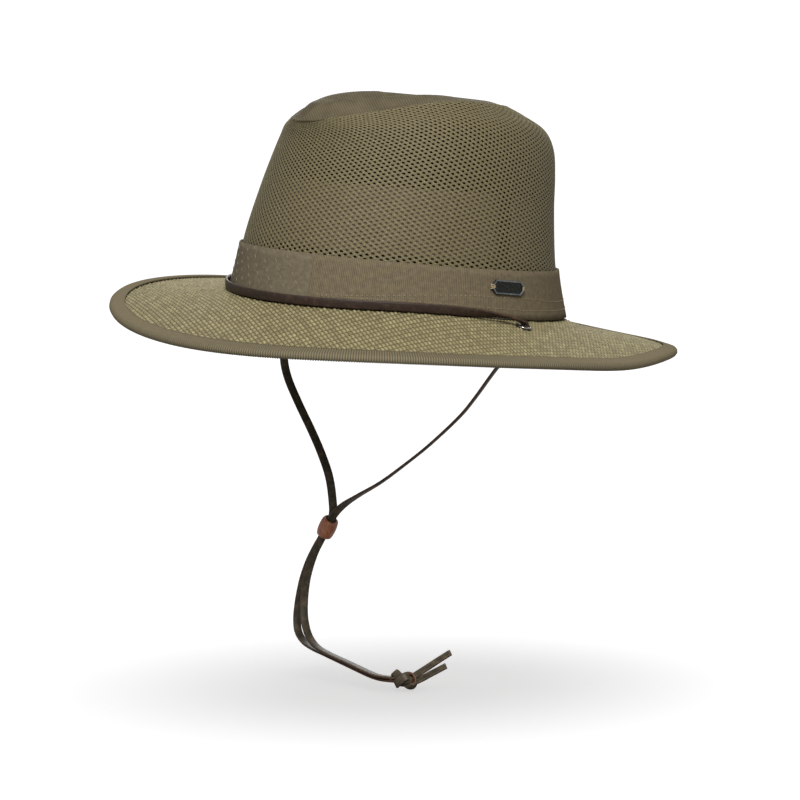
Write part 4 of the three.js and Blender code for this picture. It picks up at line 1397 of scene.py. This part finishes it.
def upper_row(angle):
    turn = abs(math.degrees(math.atan2(math.sin(angle), math.cos(angle))))
    risen = UPPER_ROW["rise"] * smooth_step(*UPPER_ROW["rises"], turn)
    return UPPER_ROW["front"] + risen - UPPER_ROW["fall"] * smooth_step(*UPPER_ROW["falls"], turn)


bm = bmesh.new()
stitch_count = round(BAND_ROUND / STITCH["pitch"])
first_stitch = LAP_ANGLES[0] + STITCH["from_lap"]
last_stitch = LAP_ANGLES[1] - STITCH["from_lap"]
for row in (upper_row, lower_row):
    for i in range(stitch_count):
        angle = 2 * math.pi * (i + 0.5) / stitch_count
        if not first_stitch < math.degrees(angle) < last_stitch:
            continue
        spot = on_band(angle, row(angle), STITCH["lift"])
        ahead = on_band(angle + LOOK_AHEAD, row(angle + LOOK_AHEAD), STITCH["lift"])
        out = normal_of(crown_point, angle, band_foot)
        sew(bm, spot, ahead - spot, out, STITCH["length"], STITCH["thick"])
smooth_faces(bm)
finish_piece(bm, "band_stitches", band_thread, "band_twill")

# %% [markdown]
# The plain piece at the front is quilted with short slanted ticks, in rows that lean to the wearer's left as
# they go down. Every second row starts a little higher, so the ticks stand like bricks.

# %% Slanted rows at the front of the band
SLANT = {"spacing": 11, "pitch": 4.4, "ticks": 5, "lean": 0.75, "from": -52, "to": LAP_ANGLES[0] - 1}
SLANT_LEVEL = {"top": 24, "stagger": 1.7, "lowest": 4}
TICK = {"length": 3.2, "thick": 0.27, "lift": -0.05, "aside": 0.75, "down": 0.7}

bm = bmesh.new()
front_run = math.radians(LAP_ANGLES[0] - SLANT["from"]) * OVAL[1]
for line_number in range(int(front_run / SLANT["spacing"])):
    start = math.radians(SLANT["from"]) + line_number * SLANT["spacing"] / OVAL[1]
    for step in range(SLANT["ticks"]):
        level = SLANT_LEVEL["top"] - step * SLANT["pitch"] + SLANT_LEVEL["stagger"] * (line_number % 2)
        angle = start + (SLANT_LEVEL["top"] - level) * SLANT["lean"] / OVAL[1]
        if level < SLANT_LEVEL["lowest"] or angle > math.radians(SLANT["to"]):
            continue
        spot = on_band(angle, level, TICK["lift"])
        ahead = on_band(angle + TICK["aside"] / OVAL[1], level - TICK["down"], TICK["lift"])
        out = normal_of(crown_point, angle, band_foot)
        sew(bm, spot, ahead - spot, out, TICK["length"], TICK["thick"])
smooth_faces(bm)
finish_piece(bm, "front_ticks", tick_thread, "band_twill")

# %% [markdown]
# Three pale threads fan out over each end of the tag and tie it to the band.

# %% Ties of the tag
TIE = {"inside": 1.6, "outside": 1.4, "close": 0.5, "wide": 1.2, "over": 0.1, "foot": 0.25}
TIE_THREAD = {"stretch": 1.15, "thick": 0.8}

bm = bmesh.new()
half_plate = PLATE["length"] / 2
for end in (-1, 1):
    for spread in (-1, 0, 1):
        inner_spot = (end * (half_plate - TIE["inside"]), TIE["close"] * spread, PLATE["wall"] + TIE["over"])
        outer_spot = (end * (half_plate + TIE["outside"]), TIE["wide"] * spread, TIE["foot"])
        inner = badge_frame @ Vector(inner_spot)
        outer = badge_frame @ Vector(outer_spot)
        tie_length = (outer - inner).length * TIE_THREAD["stretch"]
        sew(bm, (inner + outer) / 2, outer - inner, badge_out, tie_length, TIE_THREAD["thick"])
smooth_faces(bm)
finish_piece(bm, "tag_ties", pale_thread, "badge_metal")

# %% [markdown]
# Last, the script prints that it has finished.

# %% Finish
print("finished")
